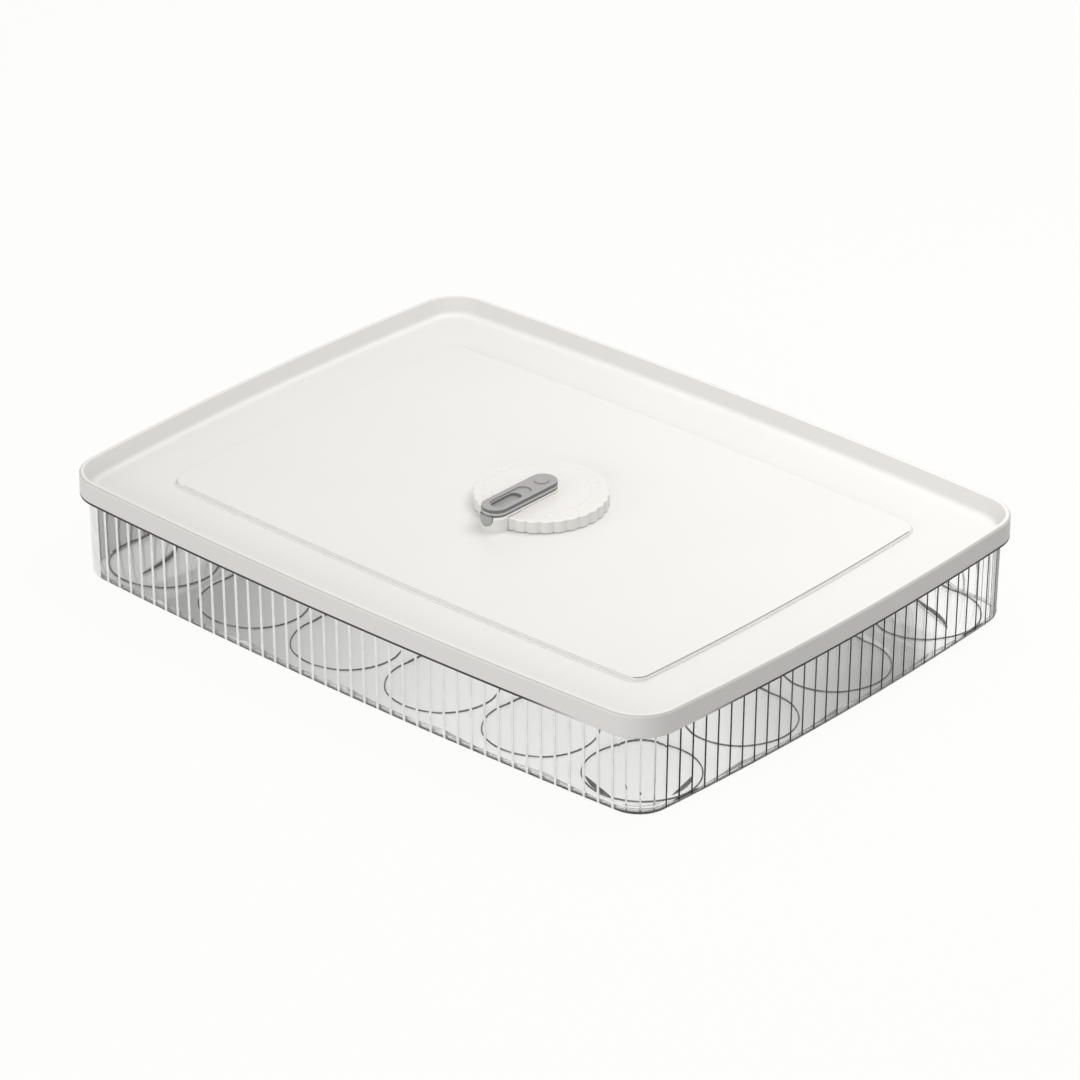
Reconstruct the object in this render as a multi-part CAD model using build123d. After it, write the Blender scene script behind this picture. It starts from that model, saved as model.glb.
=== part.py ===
from build123d import *
import math
import os

os.makedirs("parts", exist_ok=True)

# All sizes are millimetres. X runs along the long side, Y along the short side, Z is up.
# The origin is the middle of the box's underside.

# Outline of the lid, which the box and the egg tray follow at fixed distances inside it
lid_length = 345.0
lid_width = 258.0
side_bow = 5.2
corner_radius = 20.7

# Box
box_height = 43.9
box_wall = 1.6
box_floor = 1.8
box_inset_top = 3.9
box_inset_foot = 4.6
foot_height = 2.4
foot_bevel = 1.4
foot_step = 0.5
bead_height = 2.2

# Upright grooves that divide the box wall into flat flutes
flute_pitch = 7.75
groove_width = 0.9
groove_depth = 0.4

# Lid
lid_wall = 1.9
lid_sheet = 1.7
skirt_height = 9.9
skirt_gap = 0.4
rim_height = 7.25
rim_edge = 1.4
rim_slope = 5.5
rim_bevel = 0.5
land_depth = 1.7
plug_gap = 0.4
plug_rib = 1.5
plug_depth = 2.0
panel_length = 281.0
panel_width = 192.0
panel_corner = 9.4
panel_rise = 1.2
panel_draft = 0.4

# Egg tray
cells_long = 6
cells_short = 4
cell_pitch_long = 57.2
cell_pitch_short = 63.7
cell_radius = 24.4
cell_floor_radius = 22.6
cell_depth = 2.5
tray_height = 3.2
tray_gap = 0.4
tray_bevel = 0.6

# Date dial
dial_days = 31
dial_radius = 30.6
scallop_depth = 0.9
dial_gap = 0.3
dial_height = 6.0
dial_top = 1.5
dial_wall = 1.4
dial_boss_radius = 22.4
dial_boss_rise = 0.3
dial_hub_wall = 2.0
running_gap = 0.06

# Pointer: a white carrier under a grey cover, held by one pin
arm_width = 13.0
arm_start = -1.1
arm_reach = 30.3
carrier_border = 0.6
carrier_gap = 0.3
carrier_plate = 1.0
carrier_hub_radius = 4.0
carrier_dial_gap = 0.5
peg_radius = 1.5
cover_height = 3.2
cover_bevel = 0.4
recess_radius = 3.9
recess_start = 12.3
recess_depth = 0.8
pocket_radius = 3.2
pocket_start = 18.0
pocket_end = 28.8
pocket_depth = 1.4
hook_width = 8.6
hook_thickness = 1.6
hook_drop = 4.8
pin_radius = 1.8
pin_head_radius = 3.7
pin_head_height = 0.6
pin_head_bevel = 0.3
pin_gap = 0.05
pin_tail = 1.4
washer_radius = 5.0
washer_thickness = 1.0

# Heights that follow from the sizes above
sheet_under = box_height - land_depth
channel_z = sheet_under + lid_sheet
rim_z = channel_z + rim_height
panel_z = channel_z + panel_rise
skirt_z = rim_z - skirt_height
tray_z = box_floor + tray_height
dial_base_z = panel_z + dial_gap
dial_z = dial_base_z + dial_height
dial_boss_z = dial_z + dial_boss_rise
carrier_z = dial_boss_z + carrier_gap
cover_z = carrier_z + carrier_plate
cover_top_z = cover_z + cover_height


def outline_arcs():
    """The lid's outline as eight arcs, anticlockwise from the corner right of the front side.

    Each side is a shallow arc that swells by side_bow past its straight line, and each corner
    is an arc tangent to both of its sides. Each entry is centre x, centre y, radius, start
    angle and end angle, in radians.
    """
    half_long, half_short = lid_length / 2, lid_width / 2
    side_long = (half_long**2 + side_bow**2) / (2 * side_bow)
    side_short = (half_short**2 + side_bow**2) / (2 * side_bow)
    centre_long = side_long - half_short - side_bow
    centre_short = side_short - half_long - side_bow
    reach_long = side_long - corner_radius
    reach_short = side_short - corner_radius
    # The corner's centre is where a circle about each side's centre crosses the other
    span = math.hypot(centre_long, centre_short)
    along = (span**2 + reach_long**2 - reach_short**2) / (2 * span)
    across = math.sqrt(reach_long**2 - along**2)
    unit_x, unit_y = -centre_short / span, centre_long / span
    corner_x = along * unit_x + across * unit_y
    corner_y = -centre_long + along * unit_y - across * unit_x
    if corner_x < 0:
        corner_x = along * unit_x - across * unit_y
        corner_y = -centre_long + along * unit_y + across * unit_x
    lean_long = math.atan2(corner_x, corner_y + centre_long)
    lean_short = math.atan2(corner_y, corner_x + centre_short)
    quarter = math.pi / 2
    arcs = []
    for turn in range(4):
        angle = turn * quarter
        if turn % 2 == 0:
            centre = (-centre_short, 0.0, side_short, lean_short)
            corner = (corner_x, corner_y)
            next_lean = lean_long
        else:
            centre = (-centre_long, 0.0, side_long, lean_long)
            corner = (corner_y, corner_x)
            next_lean = lean_short
        cosine, sine = math.cos(angle), math.sin(angle)
        arcs.append((centre[0] * cosine, centre[0] * sine, centre[2],
                     angle - centre[3], angle + centre[3]))
        arcs.append((corner[0] * cosine - corner[1] * sine, corner[0] * sine + corner[1] * cosine,
                     corner_radius, angle + centre[3], angle + quarter - next_lean))
    return arcs


OUTLINE = outline_arcs()
OUTLINE_LENGTH = sum(radius * (end - start) for _, _, radius, start, end in OUTLINE)


def arc_point(arc, angle, inset):
    """A point on one arc of the outline, moved inwards by inset."""
    centre_x, centre_y, radius, _, _ = arc
    return (centre_x + (radius - inset) * math.cos(angle),
            centre_y + (radius - inset) * math.sin(angle))


def outline_place(distance):
    """The arc of the outline that lies at a distance along it, and the angle on that arc."""
    rest = distance % OUTLINE_LENGTH
    for arc in OUTLINE:
        length = arc[2] * (arc[4] - arc[3])
        if rest <= length:
            break
        rest -= length
    return arc, arc[3] + rest / arc[2]


def outline_point(distance, inset):
    """The point at a distance along the lid's outline, moved straight inwards by inset."""
    arc, angle = outline_place(distance)
    return arc_point(arc, angle, inset)


def outline_face(inset, height):
    """The outline moved inwards by inset, as a flat face at a height."""
    edges = []
    for arc in OUTLINE:
        start, end = arc[3], arc[4]
        points = [arc_point(arc, angle, inset) for angle in (start, (start + end) / 2, end)]
        edges.append(ThreePointArc(*points))
    return Pos(0, 0, height) * make_face(edges)


def outline_block(inset, bottom, top):
    """An upright block inside the outline between two heights."""
    return extrude(outline_face(inset, bottom), amount=top - bottom, dir=(0, 0, 1))


def fluted_wire(inset, height):
    """The outline cut by evenly spaced V grooves, with flutes that are flat except at corners."""
    count = round(OUTLINE_LENGTH / flute_pitch)
    pitch = OUTLINE_LENGTH / count
    half = groove_width / 2
    edges = []
    for index in range(count):
        middle = index * pitch
        before = outline_point(middle - half, inset)
        bottom = outline_point(middle, inset + groove_depth)
        after = outline_point(middle + half, inset)
        crest = outline_point(middle + pitch / 2, inset)
        following = outline_point(middle + pitch - half, inset)
        edges.append(Edge.make_line((*before, height), (*bottom, height)))
        edges.append(Edge.make_line((*bottom, height), (*after, height)))
        if outline_place(middle + pitch / 2)[0][2] == corner_radius:
            edges.append(Edge.make_three_point_arc((*after, height), (*crest, height),
                                                   (*following, height)))
        else:
            edges.append(Edge.make_line((*after, height), (*following, height)))
    return Wire(edges)


def make_box():
    """Clear box: bevelled foot set back a little, drafted fluted wall and a bead at the top."""
    foot = outline_block(box_inset_foot + foot_step, 0, foot_height)
    foot = chamfer(foot.edges().group_by(Axis.Z)[0], foot_bevel)
    wall = Solid.make_loft([fluted_wire(box_inset_foot, foot_height),
                            fluted_wire(box_inset_top, box_height - bead_height)], ruled=True)
    bead = outline_block(lid_wall + skirt_gap, box_height - bead_height, box_height)
    cavity = loft([outline_face(box_inset_foot + box_wall, box_floor),
                   outline_face(box_inset_top + box_wall, box_height)], ruled=True)
    return foot + wall + bead - cavity


def cell_places():
    """The middles of the egg cells."""
    return GridLocations(cell_pitch_long, cell_pitch_short, cells_long, cells_short)


def make_tray():
    """Clear plate that lies on the box floor, with a shallow round seat for each egg."""
    edge_inset = box_inset_foot + box_wall + tray_gap
    plate = outline_block(edge_inset, box_floor, tray_z)
    plate = chamfer(plate.edges().group_by(Axis.Z)[0], tray_bevel)
    seat = Pos(0, 0, tray_z - cell_depth / 2) * Cone(cell_floor_radius, cell_radius, cell_depth)
    return plate - [place * seat for place in cell_places()]


def make_lid():
    """White lid: skirt, raised rim with a sloped inner side, channel and raised panel."""
    body = outline_block(0, skirt_z, rim_z)
    body = chamfer(body.edges().group_by(Axis.Z)[-1], rim_bevel)
    body -= loft([outline_face(rim_edge + rim_slope, channel_z), outline_face(rim_edge, rim_z)],
                 ruled=True)
    plan = RectangleRounded(panel_length, panel_width, panel_corner)
    crown = RectangleRounded(panel_length - 2 * panel_draft, panel_width - 2 * panel_draft,
                             panel_corner - panel_draft)
    body += loft([Pos(0, 0, channel_z) * plan, Pos(0, 0, panel_z) * crown], ruled=True)

    wall_inset = box_inset_top + box_wall
    plug = wall_inset + plug_gap
    body -= outline_block(lid_wall, skirt_z, sheet_under)
    body -= outline_block(lid_wall, sheet_under, box_height) - outline_block(plug, sheet_under,
                                                                            box_height)
    under_panel = RectangleRounded(panel_length - 2 * lid_sheet, panel_width - 2 * lid_sheet,
                                   panel_corner - lid_sheet)
    body -= extrude(Pos(0, 0, sheet_under) * under_panel, amount=panel_rise)
    rib = outline_block(plug, sheet_under - plug_depth, sheet_under)
    body += rib - outline_block(plug + plug_rib, sheet_under - plug_depth, sheet_under)
    sheet_middle = panel_z - lid_sheet / 2
    body -= Pos(0, 0, sheet_middle) * Cylinder(pin_radius + pin_gap, lid_sheet * 2)
    body -= Pos(0, -peg_place(), sheet_middle) * Cylinder(peg_radius + pin_gap, lid_sheet * 2)
    return body


def peg_place():
    """How far the carrier's peg is from the dial's axis: the middle of its foot."""
    foot_start = dial_radius + carrier_dial_gap
    foot_end = arm_reach + arm_width / 2 + carrier_border
    return (foot_start + foot_end) / 2


def make_dial():
    """White date dial: a cap with a rounded scallop for each day, one of them at the pointer."""
    step = 2 * math.pi / dial_days
    valley = dial_radius - scallop_depth
    edges = []
    for day in range(dial_days):
        turn = (day - 0.5) * step - math.pi / 2
        edges.append(ThreePointArc(
            (valley * math.cos(turn), valley * math.sin(turn)),
            (dial_radius * math.cos(turn + step / 2), dial_radius * math.sin(turn + step / 2)),
            (valley * math.cos(turn + step), valley * math.sin(turn + step))))
    cap = extrude(Pos(0, 0, dial_base_z) * make_face(edges), amount=dial_height)
    boss = extrude(Pos(0, 0, dial_z) * Circle(dial_boss_radius), amount=dial_boss_rise)
    hollow_height = dial_height - dial_top
    bore = carrier_hub_radius + running_gap
    hollow = Circle(valley - dial_wall) - Circle(bore + dial_hub_wall)
    cap -= extrude(Pos(0, 0, dial_base_z) * hollow, amount=hollow_height)
    return cap + boss - extrude(Pos(0, 0, panel_z) * Circle(bore), amount=carrier_z - panel_z)


def arm_plan(border, start=arm_start, end=arm_reach, radius=arm_width / 2):
    """The pointer's round-ended outline, towards the front side, grown by border."""
    middle = -(start + end) / 2
    return Pos(0, middle) * SlotCenterToCenter(end - start, 2 * (radius + border), rotation=90)


def make_carrier():
    """White carrier: plate over the dial, hub through it, foot past its edge and a peg."""
    plate = extrude(Pos(0, 0, carrier_z) * arm_plan(carrier_border), amount=carrier_plate)
    foot = extrude(Pos(0, 0, panel_z) * arm_plan(carrier_border), amount=carrier_z - panel_z)
    foot -= extrude(Pos(0, 0, panel_z) * Circle(dial_radius + carrier_dial_gap),
                    amount=carrier_z - panel_z)
    hub = extrude(Pos(0, 0, panel_z) * Circle(carrier_hub_radius), amount=carrier_z - panel_z)
    peg = extrude(Pos(0, -peg_place(), panel_z - lid_sheet) * Circle(peg_radius),
                  amount=lid_sheet)
    body = plate + foot + hub + peg
    body -= extrude(Pos(0, 0, panel_z) * Circle(pin_radius + pin_gap),
                    amount=cover_z - panel_z)
    return body - hook_shape(pin_gap, cover_z)


def hook_shape(gap, top_z):
    """The cover's tongue, which hooks down over the carrier's end, grown by gap."""
    tip = arm_reach + arm_width / 2 + carrier_border
    bottom_z = carrier_z + carrier_plate - hook_drop
    half = hook_width / 2 + gap
    front = Rectangle(2 * half, top_z - bottom_z - half)
    front = Pos(0, (top_z + bottom_z + half) / 2) * front
    front += Pos(0, bottom_z + half) * Circle(half)
    slab = extrude(Plane.XZ * front, amount=tip)
    round_end = extrude(Pos(0, 0, bottom_z - gap) * arm_plan(carrier_border),
                        amount=top_z - bottom_z + gap)
    inner = extrude(Pos(0, 0, bottom_z - gap) * arm_plan(carrier_border - hook_thickness - gap),
                    amount=top_z - bottom_z + gap)
    keep = Pos(0, -tip, (top_z + bottom_z) / 2) * Box(arm_width, arm_width, 2 * top_z)
    return (slab & round_end & keep) - inner


def make_cover():
    """Grey cover: rounded arm with a two-step recess and a tongue hooked over the end."""
    body = extrude(Pos(0, 0, cover_z) * arm_plan(0), amount=cover_height)
    body = chamfer(body.edges().group_by(Axis.Z)[-1], cover_bevel)
    recess = arm_plan(0, recess_start, pocket_end, recess_radius)
    pocket = arm_plan(0, pocket_start, pocket_end, pocket_radius)
    body -= extrude(Pos(0, 0, cover_top_z - recess_depth) * recess, amount=recess_depth)
    pocket_z = cover_top_z - recess_depth - pocket_depth
    body -= extrude(Pos(0, 0, pocket_z) * pocket, amount=pocket_depth + recess_depth)
    body -= extrude(Pos(0, 0, cover_z) * Circle(pin_radius + pin_gap), amount=cover_height)
    return body + hook_shape(0, cover_z)


def make_pin():
    """Pin through cover, carrier and lid, with a low round head."""
    bottom_z = panel_z - lid_sheet - washer_thickness - pin_tail
    shank = extrude(Pos(0, 0, bottom_z) * Circle(pin_radius), amount=cover_top_z - bottom_z)
    head = extrude(Pos(0, 0, cover_top_z) * Circle(pin_head_radius), amount=pin_head_height)
    head = chamfer(head.edges().group_by(Axis.Z)[-1], pin_head_bevel)
    return shank + head


def make_washer():
    """Push-on washer that holds the pin under the lid."""
    ring = Circle(washer_radius) - Circle(pin_radius + pin_gap)
    return extrude(Pos(0, 0, panel_z - lid_sheet - washer_thickness) * ring,
                   amount=washer_thickness)


PIECES = {
    "box": make_box,
    "egg_tray": make_tray,
    "lid": make_lid,
    "date_dial": make_dial,
    "pointer_carrier": make_carrier,
    "pointer_cover": make_cover,
    "pivot_pin": make_pin,
    "pin_washer": make_washer,
}

for name, make in PIECES.items():
    export_step(make(), f"parts/{name}.step")
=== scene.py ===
"""Egg holder with a date dial: the finish and finer forms of its pieces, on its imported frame."""

import copy
import math

import bmesh
import bpy
import numpy as np
from bpy.props import (FloatProperty, FloatVectorProperty, IntProperty, PointerProperty,
                       StringProperty)
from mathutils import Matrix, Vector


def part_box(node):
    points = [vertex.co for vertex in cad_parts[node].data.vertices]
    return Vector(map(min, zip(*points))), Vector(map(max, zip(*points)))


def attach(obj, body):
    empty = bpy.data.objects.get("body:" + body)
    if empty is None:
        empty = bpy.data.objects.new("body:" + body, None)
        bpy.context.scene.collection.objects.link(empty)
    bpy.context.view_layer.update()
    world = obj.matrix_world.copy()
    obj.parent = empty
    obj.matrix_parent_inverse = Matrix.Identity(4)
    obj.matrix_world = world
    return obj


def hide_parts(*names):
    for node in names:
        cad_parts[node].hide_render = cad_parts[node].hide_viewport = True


bl_info = {
    "name": "Egg holder",
    "version": (1, 0, 0),
    "blender": (4, 5, 0),
    "location": "View3D > Sidebar > Egg holder",
    "description": "Builds the clear box, egg tray, lid and date dial of an egg holder",
    "category": "Add Mesh",
}

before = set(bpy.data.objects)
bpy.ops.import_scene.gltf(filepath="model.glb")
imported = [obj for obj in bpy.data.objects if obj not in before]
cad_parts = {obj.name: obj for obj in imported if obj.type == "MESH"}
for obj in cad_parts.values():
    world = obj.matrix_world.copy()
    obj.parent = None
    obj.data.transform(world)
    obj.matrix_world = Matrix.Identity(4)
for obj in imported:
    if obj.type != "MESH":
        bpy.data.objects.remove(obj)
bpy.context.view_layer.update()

MM = 0.001
LID_LOW, LID_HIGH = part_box("lid")
BOX_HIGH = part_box("box")[1]
TRAY_LOW, TRAY_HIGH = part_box("egg_tray")
DIAL_LOW, DIAL_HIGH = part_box("date_dial")
CARRIER_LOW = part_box("pointer_carrier")[0]
COVER_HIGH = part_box("pointer_cover")[1]
PIN_LOW, PIN_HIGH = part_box("pivot_pin")
WASHER_LOW, WASHER_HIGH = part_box("pin_washer")

# The plan's eight arcs, anticlockwise seen from above; the pointer's tip is at the front
RIGHT, BACK_RIGHT, BACK, BACK_LEFT, LEFT, FRONT_LEFT, FRONT, FRONT_RIGHT = range(8)

# How finely the lid's plan, the tray's edge, one side of a seat's cell and a scallop are divided
LID_COLUMNS, TRAY_COLUMNS, CELL_STEPS, SCALLOP_STEPS = 700, 1200, 24, 20

# Roughness, grain width and relief of the moulded skins
LID_SKIN = (0.38, 1.1 * MM, 0.02 * MM)
DIAL_SKIN = (0.32, 0.9 * MM, 0.015 * MM)
COVER_SKIN = (0.36, 0.9 * MM, 0.02 * MM)
PIN_SKIN = (0.34, 0.9 * MM, 0.015 * MM)
WASHER_SKIN = (0.45, 0.9 * MM, 0.02 * MM)

# Refraction of the plastics, and the angle from which an edge is drawn sharp
PLASTIC_IOR = 1.5
SHARP_ANGLE = math.radians(35)

SHANK_RADIUS = 1.8 * MM


# Settings that a user would change


def length(name, description, millimetres):
    """A length property, whose default is given in millimetres."""
    return FloatProperty(name=name, description=description, default=millimetres * MM,
                         unit="LENGTH", precision=5)


def hex_colour(name, description, default):
    """A colour property, written as the sRGB hex value that the finished surface shows."""
    return StringProperty(name=name, description=description, default=default)


def count(name, description, default, least):
    """A whole number from the least one that makes sense."""
    return IntProperty(name=name, description=description, default=default, min=least)


def part_of_one(name, description, default):
    """A share between 0 and 1."""
    return FloatProperty(name=name, description=description, default=default, min=0.0, max=1.0,
                         subtype="FACTOR")


def power(name, description, watts):
    """The power of a lamp."""
    return FloatProperty(name=name, description=description, default=watts, unit="POWER")


class OutlineSettings(bpy.types.PropertyGroup):
    """The plan that the lid, the box and the tray share."""

    bow: length("Side bow", "How far the middle of each side swells past its straight line", 5.2)
    corner: length("Corner radius", "Radius of the lid's corners, seen from above", 20.7)


class BoxSettings(bpy.types.PropertyGroup):
    """The clear box."""

    wall: length("Wall", "Thickness of the clear wall", 1.6)
    floor: length("Floor", "Thickness of the clear floor", 1.8)
    inset_top: length("Inset at the top", "How far the wall's top lies inside the outline", 3.9)
    inset_foot: length("Inset at the foot", "How far the wall's foot lies inside the outline", 4.6)
    foot_round: length("Foot rounding", "Radius between the wall and the underside", 2.8)
    # The foot line, where the flutes end, and the inner line carry painted lines
    foot_line: length("Foot line", "Height of the line where the flutes end", 0.5)
    inner_line: length("Inner line", "Height of the line inside the corners of the wall", 4.6)
    bead: length("Bead height", "Height of the thicker band that the lid closes over", 2.6)
    bead_inset: length("Bead inset", "How far the bead lies inside the lid's outline", 2.3)
    flute_pitch: length("Flute pitch", "Distance from groove to groove", 7.75)
    groove_width: length("Groove width", "Width of the groove between two flutes", 0.9)
    groove_depth: length("Groove depth", "Depth of the groove between two flutes", 0.4)
    # Widths of the flanks that take the painted glint and the painted shade
    wide_flank: length("Wide flank", "Width of the flank that catches the light", 1.05)
    dark_flank: length("Dark flank", "Width of the flank that stays dark", 0.6)
    colour: hex_colour("Clear plastic", "Tint of the box", "#FEFEFE")


class TraySettings(bpy.types.PropertyGroup):
    """The clear egg tray."""

    cells_long: count("Seats along", "Seats along the long side", 6, 1)
    cells_short: count("Seats across", "Seats along the short side", 4, 1)
    pitch_long: length("Pitch along", "Distance between seats along the long side", 57.2)
    pitch_short: length("Pitch across", "Distance between seats along the short side", 63.7)
    seat_radius: length("Seat radius", "Radius of a seat's edge", 25.3)
    seat_level: length("Seat level", "Height of a seat's edge above the tray's underside", 0.8)
    seat_depth: length("Seat depth", "Depth of a seat's floor below its edge", 0.5)
    # A seat's edge and the ribs are painted dark, a painted shade standing in for light turned
    # aside in the clear plastic
    lip: length("Lip", "Width of a seat's edge, which turns light aside", 0.75)
    mark: length("Rib width", "Width of the short ribs in the corner seats", 2.3)
    edge_inset: length("Edge inset", "How far the tray's edge lies inside the lid's outline", 6.6)
    colour: hex_colour("Clear plastic", "Tint of the tray", "#FEFEFE")


class LidSettings(bpy.types.PropertyGroup):
    """The white lid."""

    wall: length("Skirt wall", "Thickness of the skirt", 1.9)
    rim_edge: length("Rim width", "Width of the rim's flat top", 2.2)
    # The rim's outer edge carries a painted shade this wide
    rim_shade: length("Rim shade", "Width of the rim's outer edge, which turns into shade", 0.7)
    rim_slope: length("Rim slope", "Width of the sloped side inside the rim", 4.7)
    rim_height: length("Rim height", "Height of the rim above the channel", 8.05)
    rim_round: length("Rim rounding", "Radius of the rim's outer edge", 1.8)
    plug_inset: length("Plug inset", "How far the plug lies inside the outline", 5.9)
    plug_rib: length("Plug rib", "Thickness of the rib around the plug", 1.5)
    plug_depth: length("Plug depth", "Depth of the rib around the plug", 1.5)
    # The skirt's lower edge carries a painted shadow this high
    edge_line: length("Lower edge", "Height of the shaded line along the skirt's lower edge", 1.3)
    sheet: length("Sheet", "Thickness of the lid's sheet", 1.7)
    panel_length: length("Panel length", "Length of the raised panel, without its bow", 278.4)
    panel_width: length("Panel width", "Width of the raised panel, without its bow", 188.8)
    panel_bow: length("Panel bow", "How far the middle of each side of the panel swells", 2.8)
    panel_corner: length("Panel corner", "Corner radius of the raised panel", 7.5)
    panel_rise: length("Panel rise", "Height of the raised panel above the channel", 2.0)
    panel_ledge: length("Panel ledge", "Width of the narrow ledge on the panel's edge", 0.55)
    # The line along the crest is painted shade
    crest: length("Crest line", "Height of the line along the crest of the panel's edge", 0.5)
    panel_draft: length("Panel draft", "How far the panel's edge leans in", 0.4)
    colour: hex_colour("White plastic", "Colour of the lid", "#F5F3F1")
    # The rim's edge colour and the slope's colour are painted shade
    rim_colour: hex_colour("Rim edge", "Colour of the rim's outer edge", "#CFCFCC")
    slope_colour: hex_colour("Rim slope colour", "Colour of the rim's inner slope", "#D9D8D5")


class DialSettings(bpy.types.PropertyGroup):
    """The date dial."""

    days: count("Days", "Scallops and numbers on the dial", 31, 3)
    radius: length("Radius", "Radius over the scallops", 30.6)
    scallop: length("Scallop depth", "Depth of the valleys between scallops", 0.9)
    boss_radius: length("Boss radius", "Radius of the raised middle", 22.4)
    boss_rise: length("Boss rise", "Height of the raised middle", 0.3)
    wall: length("Wall", "Thickness of the dial's wall", 1.4)
    top: length("Top", "Thickness of the dial's top", 1.5)
    bore: length("Bore", "Radius of the hole for the carrier's hub", 4.06)
    hub_wall: length("Hub wall", "Thickness of the hub around the bore", 2.0)
    number_height: length("Number height", "Height of the raised numbers", 2.9)
    number_relief: length("Number relief", "How far the numbers stand up", 0.08)
    # The side's colour is a painted shade
    shade_colour: hex_colour("Shaded side", "Colour of the dial's side", "#D8D7D4")
    colour: hex_colour("White plastic", "Colour of the dial and the carrier", "#F5F2EF")


class PointerSettings(bpy.types.PropertyGroup):
    """The pointer over the dial, its pin and its washer."""

    start: length("Start", "Distance from the pin to the middle of the end over the hub", -1.1)
    reach: length("Reach", "Distance from the pin to the middle of the round end", 30.3)
    border: length("Border", "How far the white carrier shows around the grey cover", 0.6)
    plate: length("Plate", "Thickness of the carrier's plate", 0.75)
    plate_gap: length("Plate gap", "Clearance between the dial and the carrier's plate", 0.15)
    edge_round: length("Edge rounding", "Radius of the cover's upper edge", 0.4)
    line_height: length("Side line", "Height of the line on the cover's side", 1.45)
    recess_start: length("Recess start", "Distance from the pin to the recess's first centre", 12.3)
    recess_end: length("Recess end", "Distance from the pin to the recess's last centre", 28.8)
    recess_radius: length("Recess radius", "Half the recess's width", 3.9)
    recess_depth: length("Recess depth", "Depth of the recess's first step", 0.8)
    pocket_start: length("Pocket start", "Distance from the pin to the pocket's first centre", 18.0)
    pocket_radius: length("Pocket radius", "Half the pocket's width", 3.2)
    pocket_depth: length("Pocket depth", "Depth of the pocket below the first step", 1.6)
    hook_width: length("Hook width", "Width of the tongue that hooks over the carrier's end", 8.6)
    hook_thickness: length("Hook thickness", "Thickness of the tongue", 1.8)
    hook_proud: length("Hook proud", "How far the tongue stands out of the carrier", 0.3)
    hook_drop: length("Hook drop", "How far the tongue reaches down past the cover", 4.7)
    head_radius: length("Head radius", "Radius of the pin's head", 3.3)
    head_height: length("Head height", "Height of the pin's head", 0.6)
    dial_gap: length("Dial gap", "Clearance between the dial and the carrier's foot", 0.5)
    colour: hex_colour("Grey plastic", "Colour of the cover", "#ABAAA9")


class StageSettings(bpy.types.PropertyGroup):
    """The camera, the lamps and the floor."""

    azimuth: FloatProperty(name="Azimuth", description="The camera's turn around the holder",
                           default=math.radians(41.894), subtype="ANGLE")
    elevation: FloatProperty(name="Elevation", description="The camera's height above the horizon",
                             default=math.radians(27.477), subtype="ANGLE")
    distance: FloatProperty(name="Distance", description="From the camera to its target",
                            default=2.562, unit="LENGTH")
    target_height: length("Target height", "Height of the point that the camera looks at", 36.6)
    lens: FloatProperty(name="Lens", description="Focal length in millimetres", default=190.97)
    shift: FloatVectorProperty(name="Shift", description="Lens shift, as shares of the frame",
                               size=2, default=(-0.00137, -0.01886))
    backdrop: hex_colour("Backdrop", "Colour of the floor and the surroundings", "#FEFEFC")
    bounce: hex_colour("Bounce", "Colour of the light that the floor throws back", "#585857")
    backdrop_share: part_of_one("Backdrop share", "Share of the floor that is lit evenly", 0.96)
    # Levels of the floor's painted shade, seen through clear plastic
    through_dark: part_of_one(
        "Through, dark", "Level of the floor's dark fields seen through plastic", 0.36)
    through_middle: part_of_one("Through, middle", "The same, between dark and light", 0.7)
    fill: FloatProperty(name="Fill", description="Strength of the even light from all sides",
                        default=0.63)
    top_power: power("Top light", "Power of the lamp above", 1.7)
    corner_power: power("Corner light", "Power of the lamp behind the camera", 3.7)
    front_power: power("Front light", "Power of the lamp in front", 5.7)


# Paths and surfaces


def plan_arcs(half_long, half_short, bow, corner):
    """The lid's plan as eight arcs: centres, radii, start angles and end angles.

    A side of half length a with bow b is an arc of radius (a*a + b*b) / 2b. A corner's centre is
    where circles about two sides' centres, smaller by the corner's radius, cross.
    """
    side_long = (half_long**2 + bow**2) / (2 * bow)
    side_short = (half_short**2 + bow**2) / (2 * bow)
    centre_long = side_long - half_short - bow
    centre_short = side_short - half_long - bow
    reach_long, reach_short = side_long - corner, side_short - corner
    span = math.hypot(centre_long, centre_short)
    along = (span**2 + reach_long**2 - reach_short**2) / (2 * span)
    across = math.sqrt(reach_long**2 - along**2)
    unit = (-centre_short / span, centre_long / span)
    crossings = [(along * unit[0] + side * across * unit[1],
                  -centre_long + along * unit[1] - side * across * unit[0]) for side in (1, -1)]
    corner_x, corner_y = max(crossings)
    lean_long = math.atan2(corner_x, corner_y + centre_long)
    lean_short = math.atan2(corner_y, corner_x + centre_short)
    centres, radii, starts, ends = [], [], [], []
    for turn in range(4):
        angle = turn * math.pi / 2
        cosine, sine = math.cos(angle), math.sin(angle)
        if turn % 2 == 0:
            offset, radius, lean, next_lean = centre_short, side_short, lean_short, lean_long
            bend = (corner_x, corner_y)
        else:
            offset, radius, lean, next_lean = centre_long, side_long, lean_long, lean_short
            bend = (corner_y, corner_x)
        centres.append((-offset * cosine, -offset * sine))
        centres.append((bend[0] * cosine - bend[1] * sine, bend[0] * sine + bend[1] * cosine))
        radii += [radius, corner]
        starts += [angle - lean, angle + lean]
        ends += [angle + lean, angle + math.pi / 2 - next_lean]
    return np.array(centres), np.array(radii), np.array(starts), np.array(ends)


def outline_arcs(settings):
    """The arcs of the outline that the lid, the box and the tray share."""
    return plan_arcs(LID_HIGH.x - settings.bow, LID_HIGH.y - settings.bow, settings.bow,
                     settings.corner)


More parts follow.
